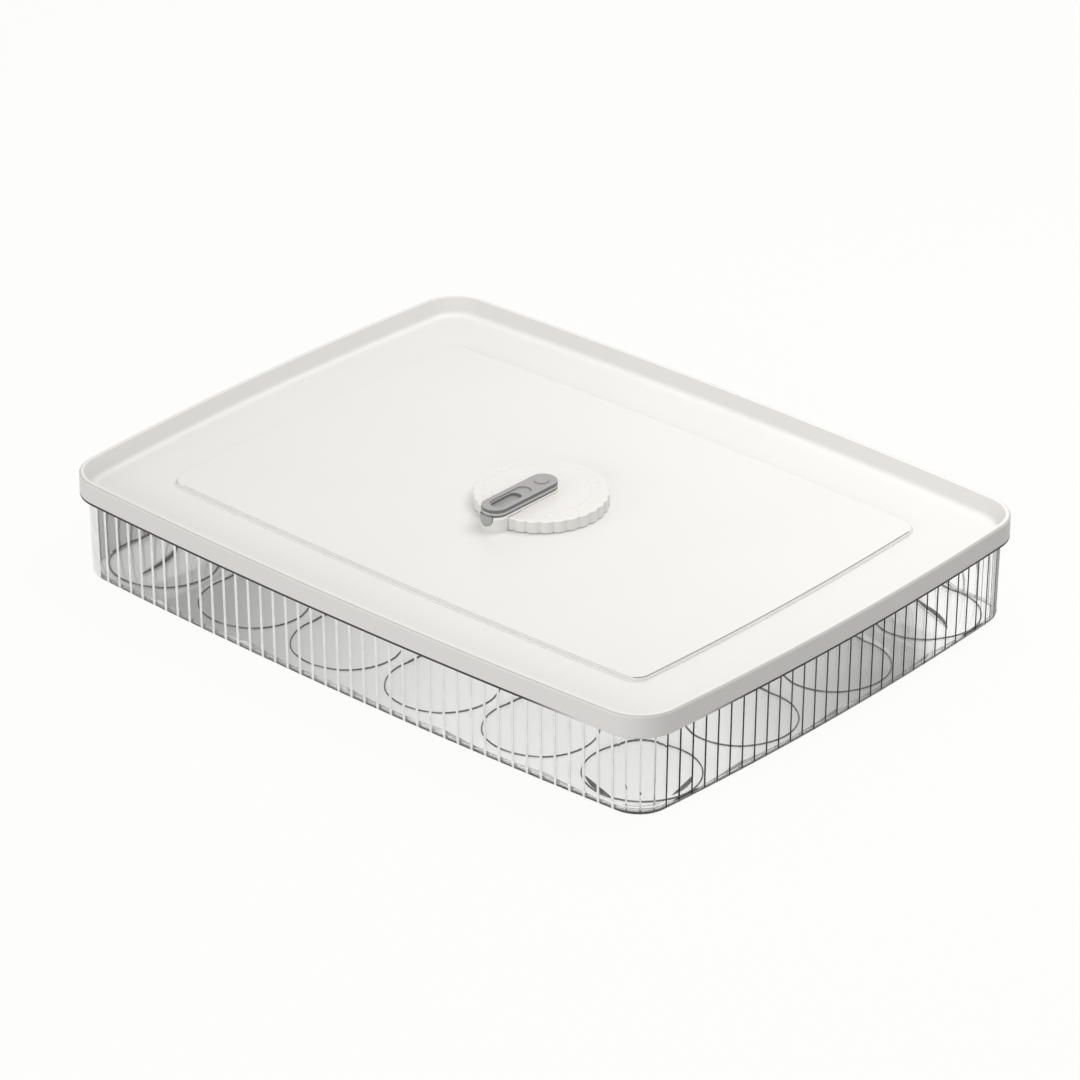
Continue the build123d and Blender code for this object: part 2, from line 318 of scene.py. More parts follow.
class Plan:
    """The bowed plan at chosen distances along it, going anticlockwise seen from above."""

    def __init__(self, settings, pitch_count=None, offsets=None, columns=None):
        centres, radii, starts, ends = outline_arcs(settings)
        lengths = radii * (ends - starts)
        self.total = lengths.sum()
        if columns is None:
            pitch = self.total / pitch_count
            self.distance = (np.arange(pitch_count)[:, None] * pitch + offsets[None, :]).ravel()
        else:
            self.distance = np.arange(columns) / columns * self.total
        place = self.distance % self.total
        self.arc = np.minimum(np.searchsorted(np.cumsum(lengths), place, side="right"), 7)
        begin = np.cumsum(lengths) - lengths
        self.share = (place - begin[self.arc]) / lengths[self.arc]
        self.angle = starts[self.arc] + self.share * (ends - starts)[self.arc]
        self.centre = centres[self.arc]
        self.radius = radii[self.arc]

    def row(self, inset, height):
        """The plan moved inwards: each arc's centre plus (radius - inset) along the angle."""
        reach = self.radius - inset
        return np.stack([self.centre[:, 0] + reach * np.cos(self.angle),
                         self.centre[:, 1] + reach * np.sin(self.angle),
                         np.broadcast_to(height, reach.shape)], axis=-1)

    def matched(self, long, wide, bow, corner):
        """Another bowed plan, with a point for each of this plan's points, arc for arc.

        A point keeps its arc's number and its share of that arc's angle.
        """
        centres, radii, starts, ends = plan_arcs(long / 2, wide / 2, bow, corner)
        other = copy.copy(self)
        other.angle = starts[self.arc] + self.share * (ends - starts)[self.arc]
        other.centre, other.radius = centres[self.arc], radii[self.arc]
        return other


def outline_corner(settings):
    """The middle of the outline's front right corner: its centre plus its radius along the angle
    half way between its ends."""
    centres, radii, starts, ends = outline_arcs(settings)
    angle = (starts[FRONT_RIGHT] + ends[FRONT_RIGHT]) / 2
    middle, radius = centres[FRONT_RIGHT], radii[FRONT_RIGHT]
    return (middle[0] + radius * math.cos(angle), middle[1] + radius * math.sin(angle))


def rounded(corners, steps=5, support=0.25 * MM):
    """A profile through corners of (across, height, radius), with each corner turned into an arc.

    The arc touches both runs at radius / tan(half the corner's angle) from the corner, and its
    centre lies on the corner's bisector. A point just outside each end keeps the runs flat.
    """
    points = np.array([corner[:2] for corner in corners], float)
    made = [points[:1]]
    for index in range(1, len(corners) - 1):
        middle, radius = points[index], corners[index][2]
        back, ahead = points[index - 1] - middle, points[index + 1] - middle
        back_length, ahead_length = np.hypot(*back), np.hypot(*ahead)
        back, ahead = back / back_length, ahead / ahead_length
        half = math.acos(np.clip(back @ ahead, -1, 1)) / 2
        touch = min(radius / math.tan(half), 0.48 * back_length, 0.48 * ahead_length)
        radius = touch * math.tan(half)
        centre = middle + (back + ahead) / np.hypot(*(back + ahead)) * radius / math.sin(half)
        first, last = middle + back * touch - centre, middle + ahead * touch - centre
        start = math.atan2(first[1], first[0])
        sweep = math.atan2(last[1], last[0]) - start
        sweep = (sweep + math.pi) % (2 * math.pi) - math.pi
        turn = start + sweep * np.linspace(0, 1, steps + 1)
        arc = centre + radius * np.stack([np.cos(turn), np.sin(turn)], axis=-1)
        before = middle + back * min(touch + support, (touch + back_length) / 2)
        after = middle + ahead * min(touch + support, (touch + ahead_length) / 2)
        made += [before[None], arc, after[None]]
    made.append(points[-1:])
    return np.concatenate(made)


def grid_faces(rows, columns, around=True, closed=False):
    """Quads between neighbouring points of a grid; they face out where rows climb an outside."""
    row = np.arange(rows if closed else rows - 1)[:, None]
    column = np.arange(columns if around else columns - 1)[None, :]
    above, beside = (row + 1) % rows, (column + 1) % columns
    return np.stack([row * columns + column, row * columns + beside,
                     above * columns + beside, above * columns + column], axis=-1).reshape(-1, 4)


def fan_faces(ring_start, columns, middle, upward):
    """Triangles from a closed ring of points to one middle point."""
    ring = ring_start + np.arange(columns)
    beside = ring_start + (np.arange(columns) + 1) % columns
    middles = np.full(columns, middle)
    order = (ring, beside, middles) if upward else (beside, ring, middles)
    return np.stack(order, axis=-1)


def add_object(name, data):
    """Puts new data into the scene as an object."""
    made = bpy.data.objects.new(name, data)
    bpy.context.scene.collection.objects.link(made)
    return made


class Skin:
    """Collects patches of points and faces, each with the number of its material."""

    def __init__(self):
        self.points, self.faces, self.tones, self.count = [], [], [], 0

    def add(self, points, faces, tone=0):
        """Adds one patch; tone is one material number or one for each face."""
        flat = np.asarray(points, float).reshape(-1, 3)
        self.faces += (faces + self.count).tolist()
        self.tones.append(np.broadcast_to(tone, len(faces)))
        self.points.append(flat)
        self.count += len(flat)

    def tube(self, rows, tone=0, closed=False, ends=(False, False)):
        """A grid of closed rows, with a fan over its first and last row where ends asks for one."""
        rows = np.asarray(rows, float)
        count, columns = rows.shape[:2]
        start = self.count
        self.add(rows, grid_faces(count, columns, True, closed), tone)
        for wanted, row, upward in ((ends[0], 0, False), (ends[1], count - 1, True)):
            if wanted:
                middle = rows[row].mean(axis=0)
                index = self.count
                self.points.append(middle[None])
                self.count += 1
                fan = fan_faces(start + row * columns, columns, index, upward)
                self.faces += fan.tolist()
                self.tones.append(np.zeros(len(fan), int))

    def finish(self, name, materials, body, nodes, merge=False):
        """Makes the piece: its mesh, its materials, the body it rides on and what it replaces."""
        mesh = bpy.data.meshes.new(name)
        mesh.from_pydata(np.concatenate(self.points).tolist(), [], self.faces)
        mesh.polygons.foreach_set("material_index", np.concatenate(self.tones).astype(np.int32))
        if merge:
            shell = bmesh.new()
            shell.from_mesh(mesh)
            bmesh.ops.remove_doubles(shell, verts=shell.verts, dist=2e-6)
            shell.to_mesh(mesh)
            shell.free()
        mesh.polygons.foreach_set("use_smooth", np.ones(len(mesh.polygons), bool))
        mesh.set_sharp_from_angle(angle=SHARP_ANGLE)
        for material in materials:
            mesh.materials.append(material)
        mesh.update()
        piece = add_object(name, mesh)
        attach(piece, body)
        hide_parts(*nodes)


def circle_rows(profile, columns, centre=(0.0, 0.0)):
    """A profile of (radius, height) turned about an upright axis, as rows of points."""
    turn = np.arange(columns) / columns * 2 * math.pi
    radius, height = profile[:, 0][:, None], profile[:, 1][:, None]
    return np.stack([centre[0] + radius * np.cos(turn), centre[1] + radius * np.sin(turn),
                     height + 0 * turn], axis=-1)


def slot_row(start, end, radius, height, arc_steps=32, side_steps=24):
    """A stadium towards the front side, from start to end along -Y, seen from above.

    It is a half circle about each end's middle, joined by two straight sides, anticlockwise.
    """
    near = np.linspace(0, math.pi, arc_steps, endpoint=False)
    far = np.linspace(math.pi, 2 * math.pi, arc_steps, endpoint=False)
    run = np.linspace(0, 1, side_steps, endpoint=False)
    x = np.concatenate([radius * np.cos(near), np.full(side_steps, -radius),
                        radius * np.cos(far), np.full(side_steps, radius)])
    y = np.concatenate([-start + radius * np.sin(near), -start + run * (start - end),
                        -end + radius * np.sin(far), -end + run * (end - start)])
    return np.stack([x, y, np.full(x.shape, height)], axis=-1)


# Materials


def linear(colour):
    """An sRGB hex colour as linear RGBA: c / 12.92 up to 0.04045, above it
    ((c + 0.055) / 1.055)^2.4."""
    values = [int(colour[index:index + 2], 16) / 255 for index in (1, 3, 5)]
    return (*[v / 12.92 if v <= 0.04045 else ((v + 0.055) / 1.055) ** 2.4 for v in values], 1.0)


def add_node(tree, kind, inputs=None, **settings):
    """Adds one node; inputs gives each named or numbered input a value or an output to link."""
    made = tree.nodes.new(kind)
    for name, value in settings.items():
        setattr(made, name, value)
    for name, value in (inputs or {}).items():
        if isinstance(value, bpy.types.NodeSocket):
            tree.links.new(value, made.inputs[name])
        else:
            made.inputs[name].default_value = value
    return made


def new_material(name):
    """An empty node material and its tree."""
    material = bpy.data.materials.new(name)
    material.use_nodes = True
    material.node_tree.nodes.clear()
    return material, material.node_tree


def finished(material, shader):
    """The material, with the shader as its surface."""
    add_node(material.node_tree, "ShaderNodeOutputMaterial", {"Surface": shader.outputs[0]})
    return material


def dimmed(colour, share):
    """A linear colour with its light cut down to a share."""
    return (*[share * value for value in colour[:3]], 1.0)


def noise(tree, place, width, detail):
    """Noise fixed to the piece, with grains of the given width."""
    return add_node(tree, "ShaderNodeTexNoise", {"Vector": place.outputs["Object"],
                                                 "Scale": 1 / width, "Detail": detail})


def blend(tree, share, first, second):
    """The first colour where the share is 0, the second where it is 1."""
    return add_node(tree, "ShaderNodeMix", {"Factor": share, 6: first, 7: second},
                    data_type="RGBA").outputs[2]


def ease(tree, value, start, end):
    """A value's share of the way from start to end, easing in and out."""
    share = add_node(tree, "ShaderNodeMapRange", {"Value": value, "From Min": start,
                                                  "From Max": end}, interpolation_type="SMOOTHSTEP")
    return share.outputs["Result"]


def reckon(tree, operation, *values):
    """The result of one sum, product or comparison of numbers and outputs."""
    return add_node(tree, "ShaderNodeMath", dict(enumerate(values)), operation=operation).outputs[0]


def mix_shaders(tree, share, first, second):
    """The first shader where the share is 0, the second where it is 1."""
    return add_node(tree, "ShaderNodeMixShader", {0: share, 1: first.outputs[0],
                                                  2: second.outputs[0]})


def clear_plastic(name, colour, flow_size):
    """Clear polystyrene, injection-moulded and polished: it bends light and glints, and the melt's
    flow leaves faint long waves in its surface. Lamps pass it, so that it casts a pale shadow."""
    material, tree = new_material(name)
    waves = noise(tree, add_node(tree, "ShaderNodeTexCoord"), flow_size, 1.0)
    bump = add_node(tree, "ShaderNodeBump", {"Height": waves.outputs["Fac"], "Strength": 0.08,
                                             "Distance": 0.4 * MM})
    glass = add_node(tree, "ShaderNodeBsdfPrincipled", {
        "Base Color": linear(colour), "Roughness": 0.03, "IOR": PLASTIC_IOR,
        "Transmission Weight": 1.0, "Normal": bump.outputs["Normal"]})
    let_by = add_node(tree, "ShaderNodeBsdfTransparent", {"Color": linear(colour)})
    path = add_node(tree, "ShaderNodeLightPath")
    return finished(material, mix_shaders(tree, path.outputs["Is Shadow Ray"], glass, let_by))


def edge_tone(name, colour, alpha, roughness, fade=None, mirror=0.0):
    """A flat tone on a narrow edge of a moulding, which reads as a line; mostly it is painted
    shade or a painted glint where light would be turned aside. With fade it turns into another
    colour near a point of the plan: (point, near, far, colour). With mirror it throws the
    surroundings back whole, a painted reflection that stands in for total reflection inside a
    clear edge."""
    material, tree = new_material(name)
    place = add_node(tree, "ShaderNodeTexCoord")
    speck = noise(tree, place, 6 * MM, 2.0)
    shade = blend(tree, speck.outputs["Fac"], dimmed(linear(colour), 0.75), linear(colour))
    if fade:
        point, near, far, other = fade
        flat = add_node(tree, "ShaderNodeVectorMath", {0: place.outputs["Object"],
                                                       1: (1.0, 1.0, 0.0)}, operation="MULTIPLY")
        away = add_node(tree, "ShaderNodeVectorMath", {0: flat.outputs["Vector"],
                                                       1: (*point, 0.0)}, operation="DISTANCE")
        shade = blend(tree, ease(tree, away.outputs["Value"], near, far), linear(other), shade)
    surface = add_node(tree, "ShaderNodeBsdfPrincipled", {
        "Base Color": shade, "Roughness": roughness, "Alpha": alpha, "Metallic": mirror})
    return finished(material, surface)


def moulded_plastic(name, colour, skin, rise=None):
    """An opaque moulding with a satin skin of a given roughness, grain and relief: a fine even
    grain from the mould's sparked surface breaks its shine up, and slow drifts in the colour keep
    it from being flat. With rise the colour turns into another between two heights, a painted
    shade: (low, high, colour)."""
    roughness, grain, relief = skin
    material, tree = new_material(name)
    place = add_node(tree, "ShaderNodeTexCoord")
    drift = noise(tree, place, 60 * MM, 2.0)
    shade = blend(tree, drift.outputs["Fac"], dimmed(linear(colour), 0.965), linear(colour))
    # Painted shade: the colour darkens between the two heights
    if rise:
        low, high, other = rise
        split = add_node(tree, "ShaderNodeSeparateXYZ", {"Vector": place.outputs["Object"]})
        shade = blend(tree, ease(tree, split.outputs["Z"], low, high), shade, linear(other))
    sparks = noise(tree, place, grain, 3.0)
    shine = add_node(tree, "ShaderNodeMapRange", {
        "Value": sparks.outputs["Fac"], "To Min": roughness - 0.05, "To Max": roughness + 0.07})
    bump = add_node(tree, "ShaderNodeBump", {"Height": sparks.outputs["Fac"], "Strength": 0.25,
                                             "Distance": relief})
    surface = add_node(tree, "ShaderNodeBsdfPrincipled", {
        "Base Color": shade, "Roughness": shine.outputs["Result"], "IOR": PLASTIC_IOR,
        "Normal": bump.outputs["Normal"]})
    return finished(material, surface)


# Pieces


class HOLDER_OT_box(bpy.types.Operator):
    """Builds the clear box: foot, floor, fluted wall and bead, as one profile carried round"""

    bl_idname = "holder.box"
    bl_label = "Clear box"

    # All tones but the clear one are painted: a white mirror glint and painted shade on the flanks,
    # faint painted lines, a painted grey mirror line at the foot and painted shade on the back
    # right corner
    CLEAR, BRIGHT, DARK, FAINT, LINE, SHADED = range(6)

    def execute(self, context):
        box, outline = context.scene.holder_box, context.scene.holder_outline
        count = round(Plan(outline, columns=8).total / box.flute_pitch)
        half = box.groove_width / 2
        offsets = np.array([-2.4 * MM, -box.wide_flank, -half, 0.0, half, box.dark_flank, 2.4 * MM,
                            box.flute_pitch / 2 - 0.5 * MM, box.flute_pitch / 2])
        plan = Plan(outline, pitch_count=count, offsets=offsets)
        groove = np.clip(1 - np.abs(np.tile(offsets, count)) / half, 0, 1) * box.groove_depth

        profile, fluted, wall_start, wall_end = self.profile(box)
        rows = [plan.row(inset + share * groove, height)
                for (inset, height), share in zip(profile, fluted)]
        flanks = self.flank_tones(plan, np.tile(np.arange(len(offsets)), count))
        # The lowest strips take the painted foot line, and a painted dark line runs round inside
        # the corners at the inner line
        order, height = np.arange(len(profile) - 1), (profile[1:, 1] + profile[:-1, 1]) / 2
        in_wall = (order < wall_end) & (height > box.foot_line)
        lowest = (order < wall_start) & (height > 0.05 * MM) & (height <= box.foot_line)
        inside = (order > wall_end) & (np.abs(height - box.inner_line - 0.1 * MM) < 0.05 * MM)
        corner = (plan.arc % 2 == 1) & (plan.share > 0.1) & (plan.share < 0.9)
        tones = np.where(in_wall[:, None], flanks, np.where(lowest, self.LINE, self.CLEAR)[:, None])
        tones = np.where(inside[:, None] & corner, self.DARK, tones).ravel()

        skin = Skin()
        skin.tube(rows, tones, ends=(True, True))
        skin.finish("clear_box", [
            clear_plastic("polystyrene_clear_moulded_box", box.colour, 45 * MM),
            # Painted lines, glints and shade on the clear wall
            edge_tone("polystyrene_groove_bright_flank", "#FFFFFF", 0.85, 0.2, mirror=1.0),
            edge_tone("polystyrene_groove_dark_flank", "#303234", 0.8, 0.35),
            edge_tone("polystyrene_groove_faint_flank", "#C8CACB", 0.35, 0.3),
            edge_tone("polystyrene_foot_line", "#A2A4A6", 0.8, 0.35, mirror=1.0),
            edge_tone("polystyrene_corner_in_shade", "#5C5E60", 0.55, 0.3),
        ], "box", ["box"])
        return {"FINISHED"}

    @staticmethod
    def profile(box):
        """The box's section, up its outside, over the bead and down its inside to the floor.

        Returned are its points of (inset, height), the share of the grooves' depth at each, which
        rises evenly from the line at the foot to the rounding's top and is 1 on the wall, and the
        wall's first point and the one after its last. Two points inside mark the strip of the
        painted dark line inside the corners.
        """
        top = BOX_HIGH.z
        section = rounded([
            (box.inset_foot + 3 * box.foot_round, 0.0, 0.0),
            (box.inset_foot, 0.0, box.foot_round),
            (box.inset_top, top - box.bead, 0.15 * MM),
            (box.bead_inset, top - box.bead, 0.3 * MM),
            (box.bead_inset, top, 0.5 * MM),
            (box.inset_top + box.wall, top, 0.4 * MM),
            (box.inset_foot + box.wall, box.floor, 1.2 * MM),
            (box.inset_foot + 4 * box.wall, box.floor, 0.0),
        ])
        draft = (box.inset_top - box.inset_foot) / (top - box.floor)
        heights = box.inner_line + np.array([0.2, 0.0]) * MM
        line = np.column_stack([box.inset_foot + box.wall + draft * (heights - box.floor), heights])
        below = (section[:, 0] > box.inset_top + box.wall) & (section[:, 1] < box.inner_line)
        below[:len(section) // 2] = False
        section = np.insert(section, int(np.argmax(below)), line, axis=0)

        low, high = box.foot_round + 0.6 * MM, top - box.bead - 0.5 * MM
        share = np.linspace(0, 1, 5)
        wall = np.column_stack([box.inset_foot + (box.inset_top - box.inset_foot) * share,
                                low + (high - low) * share])
        start = int(np.argmin(section[:, 1] < box.foot_round + 0.5 * MM))
        end = start + len(wall)
        profile = np.concatenate([section[:start], wall, section[start:]])
        fluted = np.zeros(len(profile))
        fluted[:start] = (profile[:start, 1] - box.foot_line) / (box.foot_round - box.foot_line)
        fluted[start:end] = 1.0
        return profile, np.clip(fluted, 0, 1), start, end

    def flank_tones(self, plan, strip):
        """The tone of each strip of the wall, by the offset that it starts at.

        Strips 1 to 4 are the wide flank, the groove's two sides and the dark flank, and 7 is a
        line half way to the next groove. The lines are painted glints and painted shade, set by
        side: on the front and the left the wide flank takes a painted glint, on the other sides the
        dark flank takes painted shade instead, and both stay faint round the front right corner.
        The left corners take a painted glint all over, and the back right one painted shade, with
        more painted dark lines before it.
        """
        # Painted glints and painted shade on the flanks, chosen by the side of the box
        lit = np.isin(plan.arc, (LEFT, FRONT_LEFT, FRONT))
        bright = (strip == 2) | (lit & (strip == 1))
        dark = (strip == 3) | (~lit & (strip == 4))
        tone = np.where(bright, self.BRIGHT, np.where(dark, self.DARK, self.CLEAR))
        tone[(plan.arc == FRONT_RIGHT) & (tone != self.CLEAR)] = self.FAINT
        left_corner = np.isin(plan.arc, (BACK_LEFT, FRONT_LEFT))
        tone[left_corner & (plan.share > 0.3) & (plan.share < 0.92)] = self.BRIGHT
        near_corner = ((plan.arc == RIGHT) & (plan.share > 0.96)
                       | (plan.arc == BACK_RIGHT) & (plan.share < 0.5))
        tone[near_corner & (strip == 7)] = self.DARK
        bend = (plan.arc == BACK_RIGHT) & (plan.share > 0.12) & (plan.share < 0.6)
        tone[bend & (tone == self.CLEAR)] = self.SHADED
        return tone


def ray_reach(start, ray, outline):
    """How far each ray runs from its start to a closed outline: the nearest crossing ahead of it.

    A ray s + t*r and a side p + u*d cross at t = (p - s) x d / (r x d), with u between 0 and 1.
    """
    side = np.roll(outline, -1, axis=0) - outline
    gap = outline[None] - start[:, None]
    cross = ray[:, None, 0] * side[None, :, 1] - ray[:, None, 1] * side[None, :, 0]
    cross = np.where(np.abs(cross) < 1e-15, 1e-15, cross)
    along = (gap[..., 0] * side[None, :, 1] - gap[..., 1] * side[None, :, 0]) / cross
    share = (gap[..., 0] * ray[:, None, 1] - gap[..., 1] * ray[:, None, 0]) / cross
    hit = (along > 0) & (share >= -1e-9) & (share <= 1 + 1e-9)
    return np.where(hit, along, np.inf).min(axis=1)


def cell_border(tray, edge, column, line):
    """One cell's border from above, anticlockwise from its lower right corner, and its middle.

    A point on a side that two cells share stays on the cell's rectangle. A point on the tray's
    edge moves straight out to the edge, or, past the middle of a corner cell, along the ray from
    the cell's middle.
    """
    half_x, half_y = tray.pitch_long / 2, tray.pitch_short / 2
    middle = np.array([(column - (tray.cells_long - 1) / 2) * tray.pitch_long,
                       (line - (tray.cells_short - 1) / 2) * tray.pitch_short])
    run = np.linspace(-1, 1, CELL_STEPS, endpoint=False)
    one = np.ones(CELL_STEPS)
    x = np.concatenate([one, -run, -one, run]) * half_x
    y = np.concatenate([run, one, -run, -one]) * half_y
    right, left = column == tray.cells_long - 1, column == 0
    back, front = line == tray.cells_short - 1, line == 0
    nearly = 0.999
    rim = ((right & (x >= half_x * nearly)) | (left & (x <= -half_x * nearly))
           | (back & (y >= half_y * nearly)) | (front & (y <= -half_y * nearly)))
    side_x, side_y = right * 1 - left * 1, back * 1 - front * 1
    corner = (side_x != 0) & (side_y != 0) & (x * side_x >= 0) & (y * side_y >= 0)
    on_x = (np.abs(x) > half_x * nearly) & (x * side_x > 0)
    reach = np.hypot(x, y)
    ray = np.stack([np.where(corner, x / reach, np.where(on_x, np.sign(x), 0.0)),
                    np.where(corner, y / reach, np.where(on_x, 0.0, np.sign(y)))], axis=-1)
    foot = np.stack([np.where(on_x, 0.0, x), np.where(on_x, y, 0.0)], axis=-1)
    start = middle + np.where(corner[:, None], 0.0, foot)
    met = start + ray * ray_reach(start, ray, edge)[:, None]
    return np.where(rim[:, None], met, middle + np.stack([x, y], axis=-1)), middle


class HOLDER_OT_tray(bpy.types.Operator):
    """Builds the clear tray: one patch for each seat, from its floor out to the patch's border"""

    bl_idname = "holder.tray"
    bl_label = "Egg tray"

    # The seat's edge and the ribs are painted dark, a painted shade
    CLEAR, RING, CLOUDED = range(3)

    def execute(self, context):
        tray, outline = context.scene.holder_tray, context.scene.holder_outline
        edge = Plan(outline, columns=TRAY_COLUMNS).row(tray.edge_inset, 0.0)[:, :2]
        top, bottom = TRAY_HIGH.z, TRAY_LOW.z + 0.05 * MM
        level = bottom + tray.seat_level
        cells = [(column, line, *cell_border(tray, edge, column, line))
                 for column in range(tray.cells_long) for line in range(tray.cells_short)]
        profile = self.seat_profile(tray, level)[::-1]
        # The strips of a seat's edge take the painted dark line
        between = (np.append(np.inf, profile[:-1, 0]) + profile[:, 0]) / 2
        ring = np.abs(between - tray.seat_radius) < tray.lip / 2
        skin = Skin()
        for column, line, border, middle in cells:
            way = border - middle
            way = way / np.hypot(way[:, 0], way[:, 1])[:, None]
            heights = self.pillow(tray, border, middle, level, top)
            rows = [np.column_stack([border, heights])]
            rows += [np.column_stack([middle + reach * way, np.full(len(way), height)])
                     for reach, height in profile]
            tones = np.repeat(np.where(ring, self.RING, self.CLEAR), len(border))
            skin.tube(rows, tones, ends=(False, True))
            under = np.column_stack([border, np.full(len(border), bottom)])[::-1]
            skin.tube([under, (under + np.append(middle, bottom)) / 2], self.CLEAR,
                      ends=(False, True))
        for line in self.marks(tray):
            self.mark(skin, np.array(line) * MM, level + 0.1 * MM, tray.mark)
        for cell in cells:
            self.close_edge(skin, tray, cell, level, top, bottom)
        skin.finish("clear_egg_tray", [
            clear_plastic("polystyrene_clear_moulded_tray", tray.colour, 30 * MM),
            edge_tone("polystyrene_seat_edge", "#202122", 0.95, 0.3),
            # A pale, half see-through tone on the tray's outer edge
            edge_tone("polystyrene_tray_edge_clouded", "#D3D5D4", 0.6, 0.3),
        ], "tray", ["egg_tray"], merge=True)
        return {"FINISHED"}

    @staticmethod
    def seat_profile(tray, level):
        """A seat's section from its middle out: a floor of height level - depth * (1 - share^2),
        and the edge, a ridge as high as it is wide."""
        inner, radius = tray.seat_radius - tray.lip / 2, tray.seat_radius
        share = np.array([0.08, 0.25, 0.45, 0.65, 0.82, 0.94])
        floor = np.column_stack([inner * share, level - tray.seat_depth * (1 - share**2)])
        edge = np.array([[inner, level], [radius, level + tray.lip],
                         [radius + tray.lip / 2, level], [radius + 2 * tray.lip, level]])
        return np.concatenate([floor, edge])

    @staticmethod
    def marks(tray):
        """Start, middle and end of the short ribs in three corner seats, in millimetres."""
        x = (tray.cells_long - 1) / 2 * tray.pitch_long / MM
        y = (tray.cells_short - 1) / 2 * tray.pitch_short / MM
        return [
            [(-x - 5.8, -y + 13.3), (-x - 0.9, -y + 1.5), (-x + 1.0, -y - 16.8)],
            [(x - 12.5, y + 5.9), (x + 3.5, y + 3.0), (x + 16.2, y - 4.3)],
            [(x - 15.6, -y - 17.9), (x - 6.0, -y - 22.4), (x + 4.7, -y - 24.4)],
            [(x + 17.5, -y + 11.8), (x + 20.7, -y + 3.2), (x + 21.9, -y - 6.4)],
        ]

    def mark(self, skin, points, height, width):
        """A low rib along the curve (1-t)^2 a + 2t(1-t) b + t^2 c, with b so that the curve passes
        through the middle point; it is a ridge whose width follows the sine of pi t."""
        steps = 17
        share = np.linspace(0, 1, steps)[:, None]
        first, middle, last = points
        middle = 2 * middle - (first + last) / 2
        curve = (1 - share) ** 2 * first + 2 * share * (1 - share) * middle + share**2 * last
        along = np.gradient(curve, axis=0)
        across = np.column_stack([-along[:, 1], along[:, 0]]) / np.hypot(*along.T)[:, None]
        half = width * (0.15 + np.sin(np.pi * share)) / 2
        rows = [np.column_stack([curve - across * half, np.full(steps, height)]),
                np.column_stack([curve, height + half[:, 0]]),
                np.column_stack([curve + across * half, np.full(steps, height)])]
        # The rib takes the same painted dark tone as the seat's edge
        skin.add(np.stack(rows), grid_faces(3, steps, around=True, closed=True), self.RING)

    @staticmethod
    def pillow(tray, border, middle, level, top):
        """Heights of a cell's border: level at the seat's edge, rising evenly with the distance
        from it, to top where four cells meet."""
        reach = np.hypot(*(border - middle).T)
        farthest = math.hypot(tray.pitch_long, tray.pitch_short) / 2
        start = tray.seat_radius + 2 * tray.lip
        return level + (top - level) * np.clip((reach - start) / (farthest - start), 0, 1)

    def close_edge(self, skin, tray, cell, level, top, bottom):
        """A strip of quads down to the bottom along a cell's border on the tray's edge."""
        column, line, border, middle = cell
        side = np.arange(len(border)) // CELL_STEPS
        wanted = (((side == 0) & (column == tray.cells_long - 1))
                  | ((side == 1) & (line == tray.cells_short - 1))
                  | ((side == 2) & (column == 0)) | ((side == 3) & (line == 0)))
        if not wanted.any():
            return
        first, second = border[wanted], np.roll(border, -1, axis=0)[wanted]
        lows = np.full(len(first), bottom)
        heights = self.pillow(tray, border, middle, level, top)
        corners = np.stack([np.column_stack([first, lows]), np.column_stack([second, lows]),
                            np.column_stack([second, np.roll(heights, -1)[wanted]]),
                            np.column_stack([first, heights[wanted]])], axis=1)
        # The tray's outer edge takes a pale, half see-through tone
        skin.add(corners, np.arange(4 * len(first)).reshape(-1, 4), self.CLOUDED)


